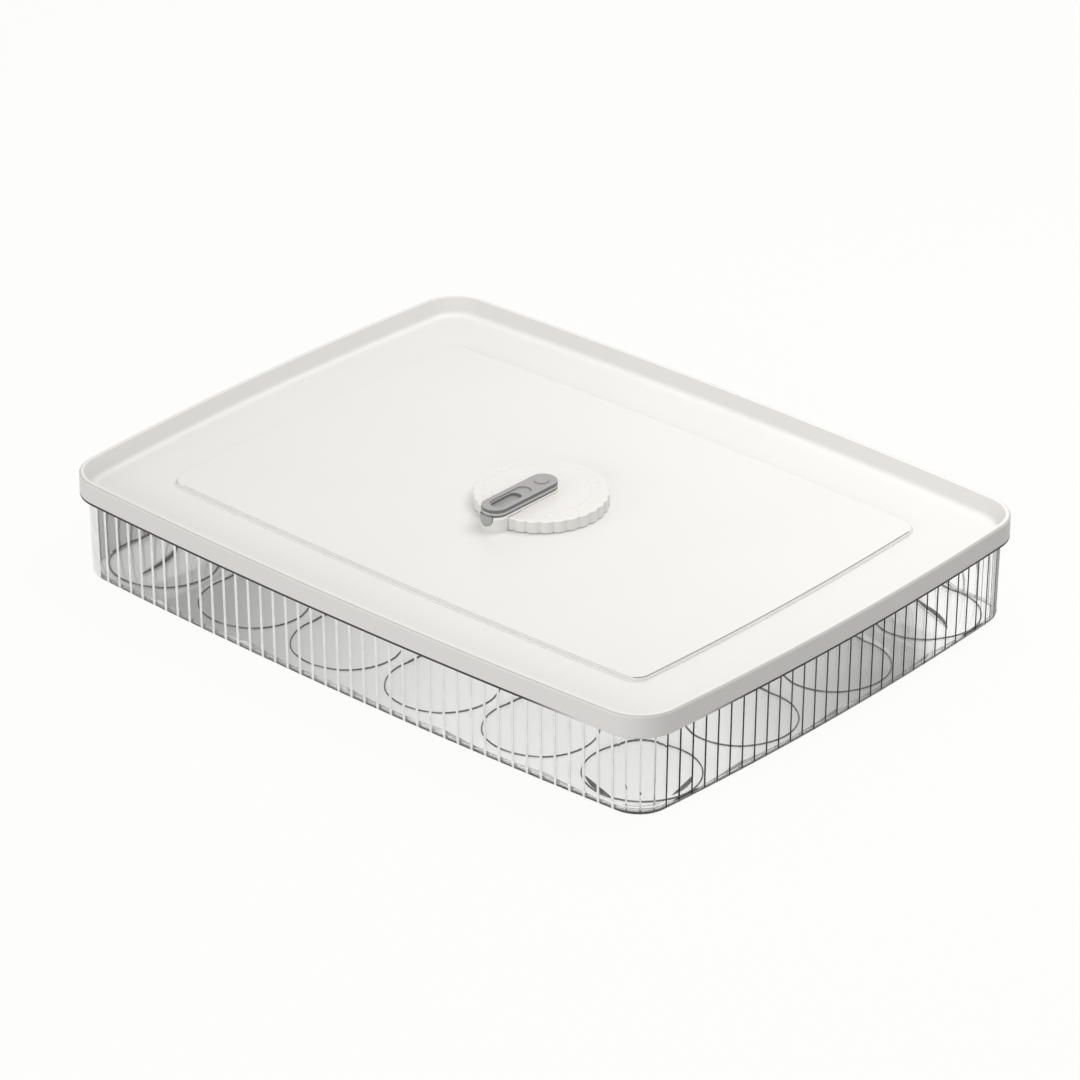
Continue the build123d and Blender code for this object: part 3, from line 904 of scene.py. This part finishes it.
class HOLDER_OT_lid(bpy.types.Operator):
    """Builds the white lid: its underside, skirt, rim, channel and raised panel in one skin"""

    bl_idname = "holder.lid"
    bl_label = "Lid"

    # All tones but the white are painted: a shadow along the lower edge, shade on the rim's outer
    # edge, the slope and the panel's crest, and a paler shade on the panel's edge
    WHITE, LOWER_EDGE, RIM_EDGE, SLOPE, CREST, PALE = range(6)

    def execute(self, context):
        lid, outline = context.scene.holder_lid, context.scene.holder_outline
        plan = Plan(outline, columns=LID_COLUMNS)
        panel_plan = plan.matched(lid.panel_length, lid.panel_width, lid.panel_bow,
                                  lid.panel_corner)
        channel = LID_HIGH.z - lid.rim_height
        parts = [(panel_plan, self.hollow(lid, channel)), (plan, self.skirt(lid, channel)),
                 (panel_plan, self.step(lid, channel))]
        rows = [path.row(inset, height) for path, profile in parts for inset, height in profile]
        hollow, skirt, step = [profile for _, profile in parts]
        tones = np.concatenate([
            np.full((len(hollow), LID_COLUMNS), self.WHITE),
            np.repeat(self.skirt_tones(lid, skirt, channel)[:, None], LID_COLUMNS, axis=1),
            np.full((1, LID_COLUMNS), self.WHITE),
            self.step_tones(lid, plan, step, channel)])
        skin = Skin()
        skin.tube(rows, tones.ravel(), ends=(True, True))
        # The painted shadow along the lower edge fades into the lid's white near the front right
        # corner, and the slope darkens towards its foot, a painted shade
        corner = (outline_corner(outline), 25 * MM, 62 * MM, lid.colour)
        slope_rise = (channel + 0.3 * MM, channel + 3 * MM, lid.slope_colour)
        skin.finish("white_lid", [
            moulded_plastic("polypropylene_white_satin_moulded", lid.colour, LID_SKIN),
            edge_tone("polypropylene_lower_edge_in_shade", "#1C1D1D", 1.0, 0.5, fade=corner),
            moulded_plastic("polypropylene_rim_edge_in_shade", lid.rim_colour, LID_SKIN),
            moulded_plastic("polypropylene_rim_slope", lid.colour, LID_SKIN, rise=slope_rise),
            moulded_plastic("polypropylene_panel_edge_in_shade", "#A6A5A3", LID_SKIN),
            moulded_plastic("polypropylene_panel_edge_lit", "#E2E1DE", LID_SKIN),
        ], "lid", ["lid"])
        return {"FINISHED"}

    @staticmethod
    def hollow(lid, channel):
        """The panel's underside, a sheet's thickness in from its edge and below its top."""
        under = channel - lid.sheet
        return rounded([
            (lid.sheet + 4 * MM, under + lid.panel_rise, 0.0),
            (lid.sheet, under + lid.panel_rise, 0.5 * MM),
            (lid.sheet, under, 0.4 * MM),
            (lid.sheet - 1.5 * MM, under, 0.0),
        ], steps=3)

    @staticmethod
    def skirt(lid, channel):
        """The plug's rib, the skirt, the rim and its slope, with a point for the top of the painted
        shadow along the lower edge.
        """
        under, seat, low, rim = channel - lid.sheet, BOX_HIGH.z, LID_LOW.z, LID_HIGH.z
        profile = rounded([
            (lid.plug_inset + lid.plug_rib + 1.5 * MM, under, 0.0),
            (lid.plug_inset + lid.plug_rib, under, 0.3 * MM),
            (lid.plug_inset + lid.plug_rib, under - lid.plug_depth, 0.4 * MM),
            (lid.plug_inset, under - lid.plug_depth, 0.4 * MM),
            (lid.plug_inset, seat, 0.3 * MM),
            (lid.wall, seat, 0.3 * MM),
            (lid.wall, low, 0.35 * MM),
            (0.0, low, 0.5 * MM),
            (0.0, rim, lid.rim_round),
            (lid.rim_edge, rim, 0.4 * MM),
            (lid.rim_edge + lid.rim_slope, channel, 5 * MM),
            (lid.rim_edge + lid.rim_slope + 4 * MM, channel, 0.0),
        ], steps=6)
        line = low + lid.edge_line
        above = (profile[:, 0] < 0.01 * MM) & (profile[:, 1] > line)
        return np.insert(profile, int(np.argmax(above)), (0.0, line), axis=0)

    @staticmethod
    def ledge(lid, channel):
        """Height of the narrow ledge on the panel's edge."""
        return channel + 0.45 * lid.panel_rise

    def step(self, lid, channel):
        """The panel's edge in two steps, with a point for the painted shade line along its crest.
        """
        ledge, panel = self.ledge(lid, channel), channel + lid.panel_rise
        profile = rounded([
            (-lid.panel_ledge - 1.6 * MM, channel, 0.0),
            (-lid.panel_ledge, channel, 0.12 * MM),
            (-lid.panel_ledge + 0.05 * MM, ledge, 0.15 * MM),
            (0.1 * MM, ledge, 0.12 * MM),
            (lid.panel_draft, panel, 0.22 * MM),
            (lid.panel_draft + 3 * MM, panel, 0.0),
        ], steps=4)
        crest = panel - lid.crest
        return np.insert(profile, int(np.argmax(profile[:, 1] > crest)), (0.25 * MM, crest), axis=0)

    def skirt_tones(self, lid, skirt, channel):
        """The skirt's painted shades, strip by strip: a painted shadow along its lower edge, and
        painted shade on the rim's outer edge and on the slope.
        """
        inset, height = ((skirt[1:] + skirt[:-1]) / 2).T
        lower = (height < LID_LOW.z + lid.edge_line) & (inset < lid.wall)
        edge = (height > LID_HIGH.z - 0.35 * lid.rim_round) & (inset < lid.rim_shade)
        slope = ((inset > lid.rim_edge) & (inset < lid.rim_edge + lid.rim_slope + 4 * MM)
                 & (height >= channel) & (height < LID_HIGH.z - 0.05 * MM))
        return np.where(lower, self.LOWER_EDGE, np.where(edge, self.RIM_EDGE, np.where(
            slope, self.SLOPE, self.WHITE)))

    def step_tones(self, lid, plan, step, channel):
        """The panel's edge gets painted shade: dark along its crest on the right and round the
        front right corner, where the ledge's edge gets a paler painted shade too, and its crest
        gets the paler painted shade along the front."""
        height = (step[1:, 1] + step[:-1, 1]) / 2
        ledge, panel = self.ledge(lid, channel), channel + lid.panel_rise
        crest = (height > panel - lid.crest) & (height < panel - 0.01 * MM)
        low_line = (height > ledge - lid.crest) & (height < ledge - 0.01 * MM)
        dark = (plan.arc == RIGHT) | ((plan.arc == FRONT_RIGHT) & (plan.share > 0.3))
        pale = ~dark & np.isin(plan.arc, (FRONT, FRONT_RIGHT))
        on_crest = np.where(dark, self.CREST, np.where(pale, self.PALE, self.WHITE))
        on_ledge = np.where(dark, self.PALE, self.WHITE)
        return np.where(crest[:, None], on_crest,
                        np.where(low_line[:, None], on_ledge, self.WHITE))


class HOLDER_OT_dial(bpy.types.Operator):
    """Builds the date dial and its raised numbers"""

    bl_idname = "holder.dial"
    bl_label = "Date dial"

    def execute(self, context):
        dial = context.scene.holder_dial
        low, boss = DIAL_LOW.z, DIAL_HIGH.z
        top = boss - dial.boss_rise
        columns = dial.days * SCALLOP_STEPS
        turn = np.arange(columns) / columns * 2 * math.pi - math.pi / 2 - math.pi / dial.days
        profile = rounded([
            (dial.bore, boss - 1.0 * MM, 0.0),
            (dial.bore, low, 0.2 * MM),
            (dial.bore + dial.hub_wall, low, 0.2 * MM),
            (dial.bore + dial.hub_wall, top - dial.top, 0.4 * MM),
            (dial.radius - dial.scallop - dial.wall, top - dial.top, 0.4 * MM),
            (dial.radius - dial.scallop - dial.wall, low, 0.2 * MM),
            (dial.radius, low, 0.3 * MM),
            (dial.radius, top, 0.5 * MM),
            (dial.boss_radius, top, 0.25 * MM),
            (dial.boss_radius, boss, 0.3 * MM),
            (dial.bore, boss, 0.3 * MM),
            (dial.bore, boss - 0.9 * MM, 0.0),
        ], steps=4)
        drop = dial.radius - self.lobes(dial)
        depth = np.clip((profile[:, 0] - (dial.boss_radius + 2.5 * MM))
                        / (dial.radius - dial.boss_radius - 2.5 * MM), 0, 1) ** 3
        inner = profile[:, 1] < top - dial.top + 0.5 * MM
        depth = np.where(inner & (profile[:, 0] < dial.radius - dial.scallop), 0.0, depth)
        radius = profile[:, :1] - depth[:, None] * np.tile(drop, dial.days)[None, :]
        rows = np.stack([radius * np.cos(turn), radius * np.sin(turn),
                         profile[:, 1:] + 0 * turn], axis=-1)
        skin = Skin()
        skin.tube(rows, closed=True)
        # Below its top the dial's side darkens into the shade colour, a painted shade
        white = moulded_plastic("abs_white_moulded_dial", dial.colour, DIAL_SKIN,
                                rise=(top - 0.3 * MM, top - 0.8 * MM, dial.shade_colour))
        skin.finish("white_date_dial", [white], "dial", ["date_dial"])
        self.numbers(dial, top, white)
        return {"FINISHED"}

    @staticmethod
    def lobes(dial):
        """Radius across one scallop: the arc through both valleys and the crest, seen from the
        axis. Its centre lies at distance m on the scallop's middle line, with radius R - m, where
        m makes it pass through the valleys."""
        half = math.pi / dial.days
        crest, valley = dial.radius, dial.radius - dial.scallop
        middle = (crest**2 - valley**2) / (2 * (crest - valley * math.cos(half)))
        lobe = crest - middle
        angle = (np.arange(SCALLOP_STEPS) / SCALLOP_STEPS * 2 - 1) * half
        return middle * np.cos(angle) + np.sqrt(lobe**2 - (middle * np.sin(angle)) ** 2)

    @staticmethod
    def numbers(dial, top, material):
        """Raised day numbers, one to a scallop, which read from outside the dial's edge."""
        ring = (dial.boss_radius + dial.radius - dial.scallop) / 2
        digit_share = 0.72  # of the letters' size
        shell = bmesh.new()
        for day in range(dial.days):
            curve = bpy.data.curves.new("day", "FONT")
            curve.body = str(day + 1)
            curve.size = dial.number_height / digit_share
            curve.resolution_u = 3
            curve.align_x = "CENTER"
            curve.align_y = "CENTER"
            curve.extrude = dial.number_relief / 2
            text = add_object("day", curve)
            angle = -math.pi / 2 + day * 2 * math.pi / dial.days
            mesh = bpy.data.meshes.new_from_object(text)
            points = np.zeros(len(mesh.vertices) * 3)
            mesh.vertices.foreach_get("co", points)
            points = points.reshape(-1, 3)
            across, along = points[:, 0], points[:, 1]
            reach = ring + along
            cosine, sine = math.cos(angle), math.sin(angle)
            placed = np.stack([reach * cosine + across * sine, reach * sine - across * cosine,
                               points[:, 2] + top + dial.number_relief * 0.4], axis=-1)
            mesh.vertices.foreach_set("co", placed.ravel())
            shell.from_mesh(mesh)
            bpy.data.objects.remove(text)
            bpy.data.curves.remove(curve)
            bpy.data.meshes.remove(mesh)
        joined = bpy.data.meshes.new("day_numbers")
        bmesh.ops.remove_doubles(shell, verts=shell.verts, dist=1e-6)
        bmesh.ops.recalc_face_normals(shell, faces=shell.faces)
        shell.to_mesh(joined)
        shell.free()
        joined.materials.append(material)
        piece = add_object("day_numbers", joined)
        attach(piece, "dial")


class HOLDER_OT_pointer(bpy.types.Operator):
    """Builds the white carrier and the grey cover of the pointer"""

    bl_idname = "holder.pointer"
    bl_label = "Pointer"

    # All tones but the grey are painted: shade on the side, in the recess and on the tongue, and a
    # lighter line across the side's shade
    GREY, SHADE, LINE, RECESS, TONGUE = range(5)

    def execute(self, context):
        pointer, dial = context.scene.holder_pointer, context.scene.holder_dial
        plate_low = DIAL_HIGH.z + pointer.plate_gap
        plate_top = plate_low + pointer.plate
        self.carrier(pointer, dial, plate_low, plate_top)
        skin = Skin()
        self.cover(skin, pointer, plate_top)
        self.tongue(skin, pointer, plate_top)
        skin.finish("grey_pointer_cover", [
            moulded_plastic("abs_grey_moulded_cover", pointer.colour, COVER_SKIN),
            edge_tone("abs_grey_side_in_shade", "#6C6D6E", 1.0, 0.4),
            edge_tone("abs_grey_side_line", "#C2C3C3", 1.0, 0.4),
            edge_tone("abs_grey_recess_in_shade", "#868788", 1.0, 0.45),
            edge_tone("abs_grey_tongue", "#A9AAAA", 1.0, 0.4),
        ], "lid", ["pointer_cover"])
        return {"FINISHED"}

    def carrier(self, pointer, dial, low, top):
        """The white carrier: a plate, the foot past the dial, the hub and the peg."""
        rim = COVER_HIGH.x + pointer.border
        panel = DIAL_LOW.z - 0.3 * MM
        skin = Skin()
        profile = rounded([(2 * MM, low, 0.0), (0.0, low, 0.15 * MM), (0.0, top, 0.2 * MM),
                           (2 * MM, top, 0.0)], steps=3)
        skin.tube([slot_row(pointer.start, pointer.reach, rim - inset, height)
                   for inset, height in profile], ends=(True, True))
        self.foot(skin, pointer, dial, rim, panel, low + 0.3 * MM)
        hub = np.array([(4.0 * MM, panel), (4.0 * MM, low + 0.2 * MM)])
        skin.tube(circle_rows(hub, 48), ends=(True, True))
        peg = np.array([(1.5 * MM, CARRIER_LOW.z), (1.5 * MM, panel + 0.3 * MM)])
        peg_middle = (0.0, -(dial.radius + pointer.dial_gap + pointer.reach + rim) / 2)
        skin.tube(circle_rows(peg, 32, peg_middle), ends=(True, True))
        # The carrier below its plate darkens into painted shade
        white = moulded_plastic("abs_white_moulded_carrier", dial.colour, DIAL_SKIN,
                                rise=(low, low - 0.5 * MM, dial.shade_colour))
        skin.finish("white_pointer_carrier", [white], "lid", ["pointer_carrier"])

    @staticmethod
    def foot(skin, pointer, dial, rim, low, high):
        """The carrier's foot: the part of its plan that lies past the dial, down to the panel.

        Across it runs x = rim * sin(t); its near side is the dial's circle grown by the gap, and
        its far side the half circle of the carrier's end.
        """
        quarter = math.radians(87)  # just short of 90, so that the foot's ends have a width
        turn = np.linspace(-1, 1, 41) * quarter
        x = rim * np.sin(turn)
        clear = dial.radius + pointer.dial_gap
        near = -np.sqrt(clear**2 - x**2)
        far = -(pointer.reach + rim * np.cos(turn))
        near = np.maximum(near, far + 0.02 * MM)
        loop = [(near, low), (far, low), (far, high), (near, high)]
        rows = np.stack([np.stack([x, y, np.full(x.shape, z)], axis=-1) for y, z in loop])
        count, columns = rows.shape[:2]
        faces = grid_faces(count, columns, around=False, closed=True)
        skin.add(rows, faces)
        ends = np.array([[0, 1, 2, 3], [3, 2, 1, 0]]) * columns
        ends[1] += columns - 1
        skin.add(rows, ends)

    def cover(self, skin, pointer, low):
        """The grey cover: wall, rounded edge, and a recess in two steps."""
        top = COVER_HIGH.z
        floor = top - pointer.recess_depth
        pocket = floor - pointer.pocket_depth
        line = low + pointer.line_height
        outer = rounded([(2 * MM, low, 0.0), (0.0, low, 0.15 * MM), (0.0, top, pointer.edge_round),
                         (1.6 * MM, top, 0.0)], steps=6)
        outer = np.insert(outer, int(np.argmax(outer[:, 1] > line)),
                          [(0.0, line - 0.5 * MM), (0.0, line + 0.5 * MM)], axis=0)
        recess = rounded([(-0.8 * MM, top, 0.0), (0.0, top, 0.2 * MM), (0.1 * MM, floor, 0.15 * MM),
                          (0.35 * MM, floor, 0.0)], steps=4)
        inner = rounded([(-0.2 * MM, floor, 0.0), (0.0, floor, 0.15 * MM),
                         (0.1 * MM, pocket, 0.2 * MM), (0.8 * MM, pocket, 0.0)], steps=4)
        slots = [(pointer.start, pointer.reach, COVER_HIGH.x, outer),
                 (pointer.recess_start, pointer.recess_end, pointer.recess_radius, recess),
                 (pointer.pocket_start, pointer.recess_end, pointer.pocket_radius, inner)]
        rows = [slot_row(start, end, radius - inset, height)
                for start, end, radius, profile in slots for inset, height in profile]

        # The side is painted shade except a lighter line across it, and the recess's walls are
        # painted shade
        side = (outer[1:, 1] + outer[:-1, 1]) / 2
        side_tones = np.where(side < top - 0.12 * MM, self.SHADE, self.GREY)
        side_tones[np.abs(side - line) < 0.1 * MM] = self.LINE
        heights = np.concatenate([profile[:, 1] for *_, profile in slots])
        falls = np.abs(np.diff(heights)) > 0.12 * MM
        tones = np.where(falls, self.RECESS, self.GREY)
        tones[:len(side)], tones[len(side)] = side_tones, self.GREY
        skin.tube(rows, np.repeat(tones, len(rows[0])), ends=(True, True))

    def tongue(self, skin, pointer, low):
        """The tongue: a U-shaped outline, bent round the carrier's end and rounded at its edge."""
        width, bottom = pointer.hook_width / 2, low - pointer.hook_drop
        reach = COVER_HIGH.x + pointer.border + pointer.hook_proud
        turn = np.linspace(0, math.pi, 33)[1:-1]
        across = np.concatenate([[-width, -width], -width * np.cos(turn), [width, width]])
        height = np.concatenate([[low + 0.6 * MM, bottom + width],
                                 bottom + width - width * np.sin(turn),
                                 [bottom + width, low + 0.6 * MM]])
        middle = np.array([0.0, low - 0.5 * MM])
        away = np.stack([across, height], axis=-1) - middle
        rings = [(reach - pointer.hook_thickness, 0.0, 1.0), (reach - 0.35 * MM, 0.0, 1.0),
                 (reach - 0.1 * MM, 0.1 * MM, 1.0), (reach, 0.35 * MM, 1.0)]
        rings += [(reach, 0.35 * MM, share) for share in (0.8, 0.6, 0.4, 0.2, 0.04)]
        rows = []
        for depth, inset, share in rings:
            shrunk = middle + away * share * (1 - inset / np.hypot(away[:, 0], away[:, 1])[:, None])
            angle = shrunk[:, 0] / reach
            rows.append(np.stack([depth * np.sin(angle), -pointer.reach - depth * np.cos(angle),
                                  shrunk[:, 1]], axis=-1))
        # The tongue's rim and face are painted shade
        tones = np.where(np.arange(len(rows) - 1) < 3, self.SHADE, self.TONGUE)
        skin.tube(rows, np.repeat(tones, len(across)), ends=(True, True))


class HOLDER_OT_pivot(bpy.types.Operator):
    """Builds the pivot pin and its washer"""

    bl_idname = "holder.pivot"
    bl_label = "Pin and washer"

    def execute(self, context):
        pointer = context.scene.holder_pointer
        head_low = PIN_HIGH.z - pointer.head_height
        profile = rounded([
            (0.3 * MM, PIN_LOW.z, 0.0),
            (SHANK_RADIUS, PIN_LOW.z, 0.4 * MM),
            (SHANK_RADIUS, head_low, 0.1 * MM),
            (pointer.head_radius, head_low, 0.1 * MM),
            (pointer.head_radius, PIN_HIGH.z, 0.45 * MM),
            (0.8 * MM, PIN_HIGH.z, 0.0),
        ], steps=4)
        skin = Skin()
        skin.tube(circle_rows(profile, 64), ends=(True, True))
        grey = moulded_plastic("abs_grey_moulded_pin", pointer.colour, PIN_SKIN)
        skin.finish("grey_pivot_pin", [grey], "lid", ["pivot_pin"])

        bore = SHANK_RADIUS + 0.05 * MM
        middle = (bore + WASHER_HIGH.x) / 2
        profile = rounded([
            (middle, WASHER_LOW.z, 0.0),
            (WASHER_HIGH.x, WASHER_LOW.z, 0.2 * MM),
            (WASHER_HIGH.x, WASHER_HIGH.z, 0.2 * MM),
            (bore, WASHER_HIGH.z, 0.1 * MM),
            (bore, WASHER_LOW.z, 0.15 * MM),
            (middle - 0.05 * MM, WASHER_LOW.z, 0.0),
        ], steps=3)
        skin = Skin()
        skin.tube(circle_rows(profile, 64), closed=True)
        white = moulded_plastic("polypropylene_white_moulded_washer", "#ECECEA", WASHER_SKIN)
        skin.finish("white_pin_washer", [white], "lid", ["pin_washer"])
        return {"FINISHED"}


# Stage


def add_lamp(name, place, aim, size, energy):
    """A square soft lamp that looks from its place at its aim."""
    data = bpy.data.lights.new(name, "AREA")
    data.size, data.energy = size, energy
    lamp = add_object(name, data)
    away = np.array(place) - np.array(aim)
    across = math.hypot(away[0], away[1])
    lamp.location = place
    lamp.rotation_euler = (math.atan2(across, away[2]), 0.0, math.atan2(away[0], -away[1]))


class HOLDER_OT_stage(bpy.types.Operator):
    """Builds the floor, the surroundings, the lamps and the camera"""

    bl_idname = "holder.stage"
    bl_label = "Stage"

    def execute(self, context):
        stage = context.scene.holder_stage
        self.floor(stage)
        self.surroundings(context.scene, stage)
        add_lamp("top_light", (0.18, 0.27, 0.6), (0.16, 0.2, 0.04), 0.45, stage.top_power)
        add_lamp("corner_light", (0.8, -1.3, 0.35), (0.1, -0.1, 0.03), 0.5, stage.corner_power)
        add_lamp("front_light", (-0.4, -1.45, 0.3), (0.0, 0.0, 0.03), 0.8, stage.front_power)
        self.camera(context.scene, stage)
        context.scene.view_settings.view_transform = "Standard"
        return {"FINISHED"}

    def floor(self, stage):
        """A wide white floor. The camera sees it glow evenly, diffuse rays see the bounce's colour,
        and rays through clear plastic see its fields of painted light and shade."""
        mesh = bpy.data.meshes.new("floor")
        side = 6.0
        mesh.from_pydata([(-side, -side, 0), (side, -side, 0), (side, side, 0), (-side, side, 0)],
                         [], [(0, 1, 2, 3)])
        floor = add_object("floor", mesh)
        floor.location.z = -0.2 * MM

        material, tree = new_material("paper_white_backdrop")
        path = add_node(tree, "ShaderNodeLightPath")
        through, seen = path.outputs["Is Transmission Ray"], path.outputs["Is Camera Ray"]
        bent = reckon(tree, "MAXIMUM", path.outputs["Is Glossy Ray"], through)
        level = add_node(tree, "ShaderNodeMix", {0: through, 2: 1.0, 3: self.fields(tree, stage)},
                         data_type="FLOAT")
        share = reckon(tree, "MULTIPLY_ADD", seen, stage.backdrop_share, bent)
        tint = blend(tree, path.outputs["Is Diffuse Ray"], linear(stage.backdrop),
                     linear(stage.bounce))
        paper = add_node(tree, "ShaderNodeBsdfDiffuse", {"Color": tint})
        glow = add_node(tree, "ShaderNodeEmission", {"Color": linear(stage.backdrop),
                                                     "Strength": level.outputs[0]})
        mesh.materials.append(finished(material, mix_shaders(tree, share, paper, glow)))

    @staticmethod
    def fields(tree, stage):
        """The floor's fields of painted light and shade, across the camera's view: the level at
        each share of the way from 0.2 m left of the holder's middle to 0.2 m right of it."""
        dark, middle, full, reach = stage.through_dark, stage.through_middle, 1.0, 0.2
        fields = [(0.0, dark), (0.14, dark * 1.1), (0.24, middle), (0.4, full), (0.69, full),
                  (0.78, middle), (0.85, dark * 1.2), (0.905, dark), (0.935, full)]
        place = add_node(tree, "ShaderNodeTexCoord")
        rightwards = (math.cos(stage.azimuth), math.sin(stage.azimuth), 0.0)
        across = add_node(tree, "ShaderNodeVectorMath", {0: place.outputs["Object"], 1: rightwards},
                          operation="DOT_PRODUCT")
        share = add_node(tree, "ShaderNodeMapRange", {
            "Value": across.outputs["Value"], "From Min": -reach, "From Max": reach})
        ramp = add_node(tree, "ShaderNodeValToRGB", {"Fac": share.outputs["Result"]})
        while len(ramp.color_ramp.elements) < len(fields):
            ramp.color_ramp.elements.new(0.5)
        for element, (position, value) in zip(ramp.color_ramp.elements, fields):
            element.position, element.color = position, (value, value, value, 1.0)
        return ramp.outputs[0]

    @staticmethod
    def surroundings(scene, stage):
        """White surroundings, at full strength where the camera, a reflection or clear plastic
        sees them, and at the fill's strength as a light."""
        scene.world = bpy.data.worlds.new("studio")
        scene.world.use_nodes = True
        tree = scene.world.node_tree
        tree.nodes.clear()
        white = linear(stage.backdrop)
        path = add_node(tree, "ShaderNodeLightPath")
        seen = reckon(tree, "MAXIMUM", path.outputs["Is Camera Ray"], path.outputs["Is Glossy Ray"])
        seen = reckon(tree, "MAXIMUM", seen, path.outputs["Is Transmission Ray"])
        fill = add_node(tree, "ShaderNodeBackground", {"Color": white, "Strength": stage.fill})
        sky = add_node(tree, "ShaderNodeBackground", {"Color": white, "Strength": 1.0})
        mix = mix_shaders(tree, seen, fill, sky)
        add_node(tree, "ShaderNodeOutputWorld", {"Surface": mix.outputs[0]})

    @staticmethod
    def camera(scene, stage):
        """The camera, which looks at a point on the holder's axis."""
        data = bpy.data.cameras.new("camera")
        data.sensor_width = 36.0
        data.lens = stage.lens
        data.shift_x, data.shift_y = stage.shift
        data.clip_end = 50.0
        camera = add_object("camera", data)
        flat = math.cos(stage.elevation) * stage.distance
        camera.location = (flat * math.sin(stage.azimuth), -flat * math.cos(stage.azimuth),
                           stage.target_height + math.sin(stage.elevation) * stage.distance)
        camera.rotation_euler = (math.pi / 2 - stage.elevation, 0.0, stage.azimuth)
        scene.camera = camera


class HOLDER_PT_panel(bpy.types.Panel):
    """Lists the pieces of the egg holder"""

    bl_idname = "HOLDER_PT_panel"
    bl_label = "Egg holder"
    bl_space_type = "VIEW_3D"
    bl_region_type = "UI"
    bl_category = "Egg holder"

    def draw(self, context):
        for operator in OPERATORS:
            self.layout.operator(operator.bl_idname)


SETTINGS = {
    "holder_outline": OutlineSettings,
    "holder_box": BoxSettings,
    "holder_tray": TraySettings,
    "holder_lid": LidSettings,
    "holder_dial": DialSettings,
    "holder_pointer": PointerSettings,
    "holder_stage": StageSettings,
}
OPERATORS = (HOLDER_OT_box, HOLDER_OT_tray, HOLDER_OT_lid, HOLDER_OT_dial, HOLDER_OT_pointer,
             HOLDER_OT_pivot, HOLDER_OT_stage)


def register():
    for name, settings in SETTINGS.items():
        bpy.utils.register_class(settings)
        setattr(bpy.types.Scene, name, PointerProperty(type=settings))
    for operator in OPERATORS:
        bpy.utils.register_class(operator)
    bpy.utils.register_class(HOLDER_PT_panel)


def unregister():
    bpy.utils.unregister_class(HOLDER_PT_panel)
    for operator in reversed(OPERATORS):
        bpy.utils.unregister_class(operator)
    for name, settings in SETTINGS.items():
        delattr(bpy.types.Scene, name)
        bpy.utils.unregister_class(settings)


def main():
    """Registers the classes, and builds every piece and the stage."""
    register()
    bpy.ops.holder.box()
    bpy.ops.holder.tray()
    bpy.ops.holder.lid()
    bpy.ops.holder.dial()
    bpy.ops.holder.pointer()
    bpy.ops.holder.pivot()
    bpy.ops.holder.stage()


if __name__ == "__main__":
    main()
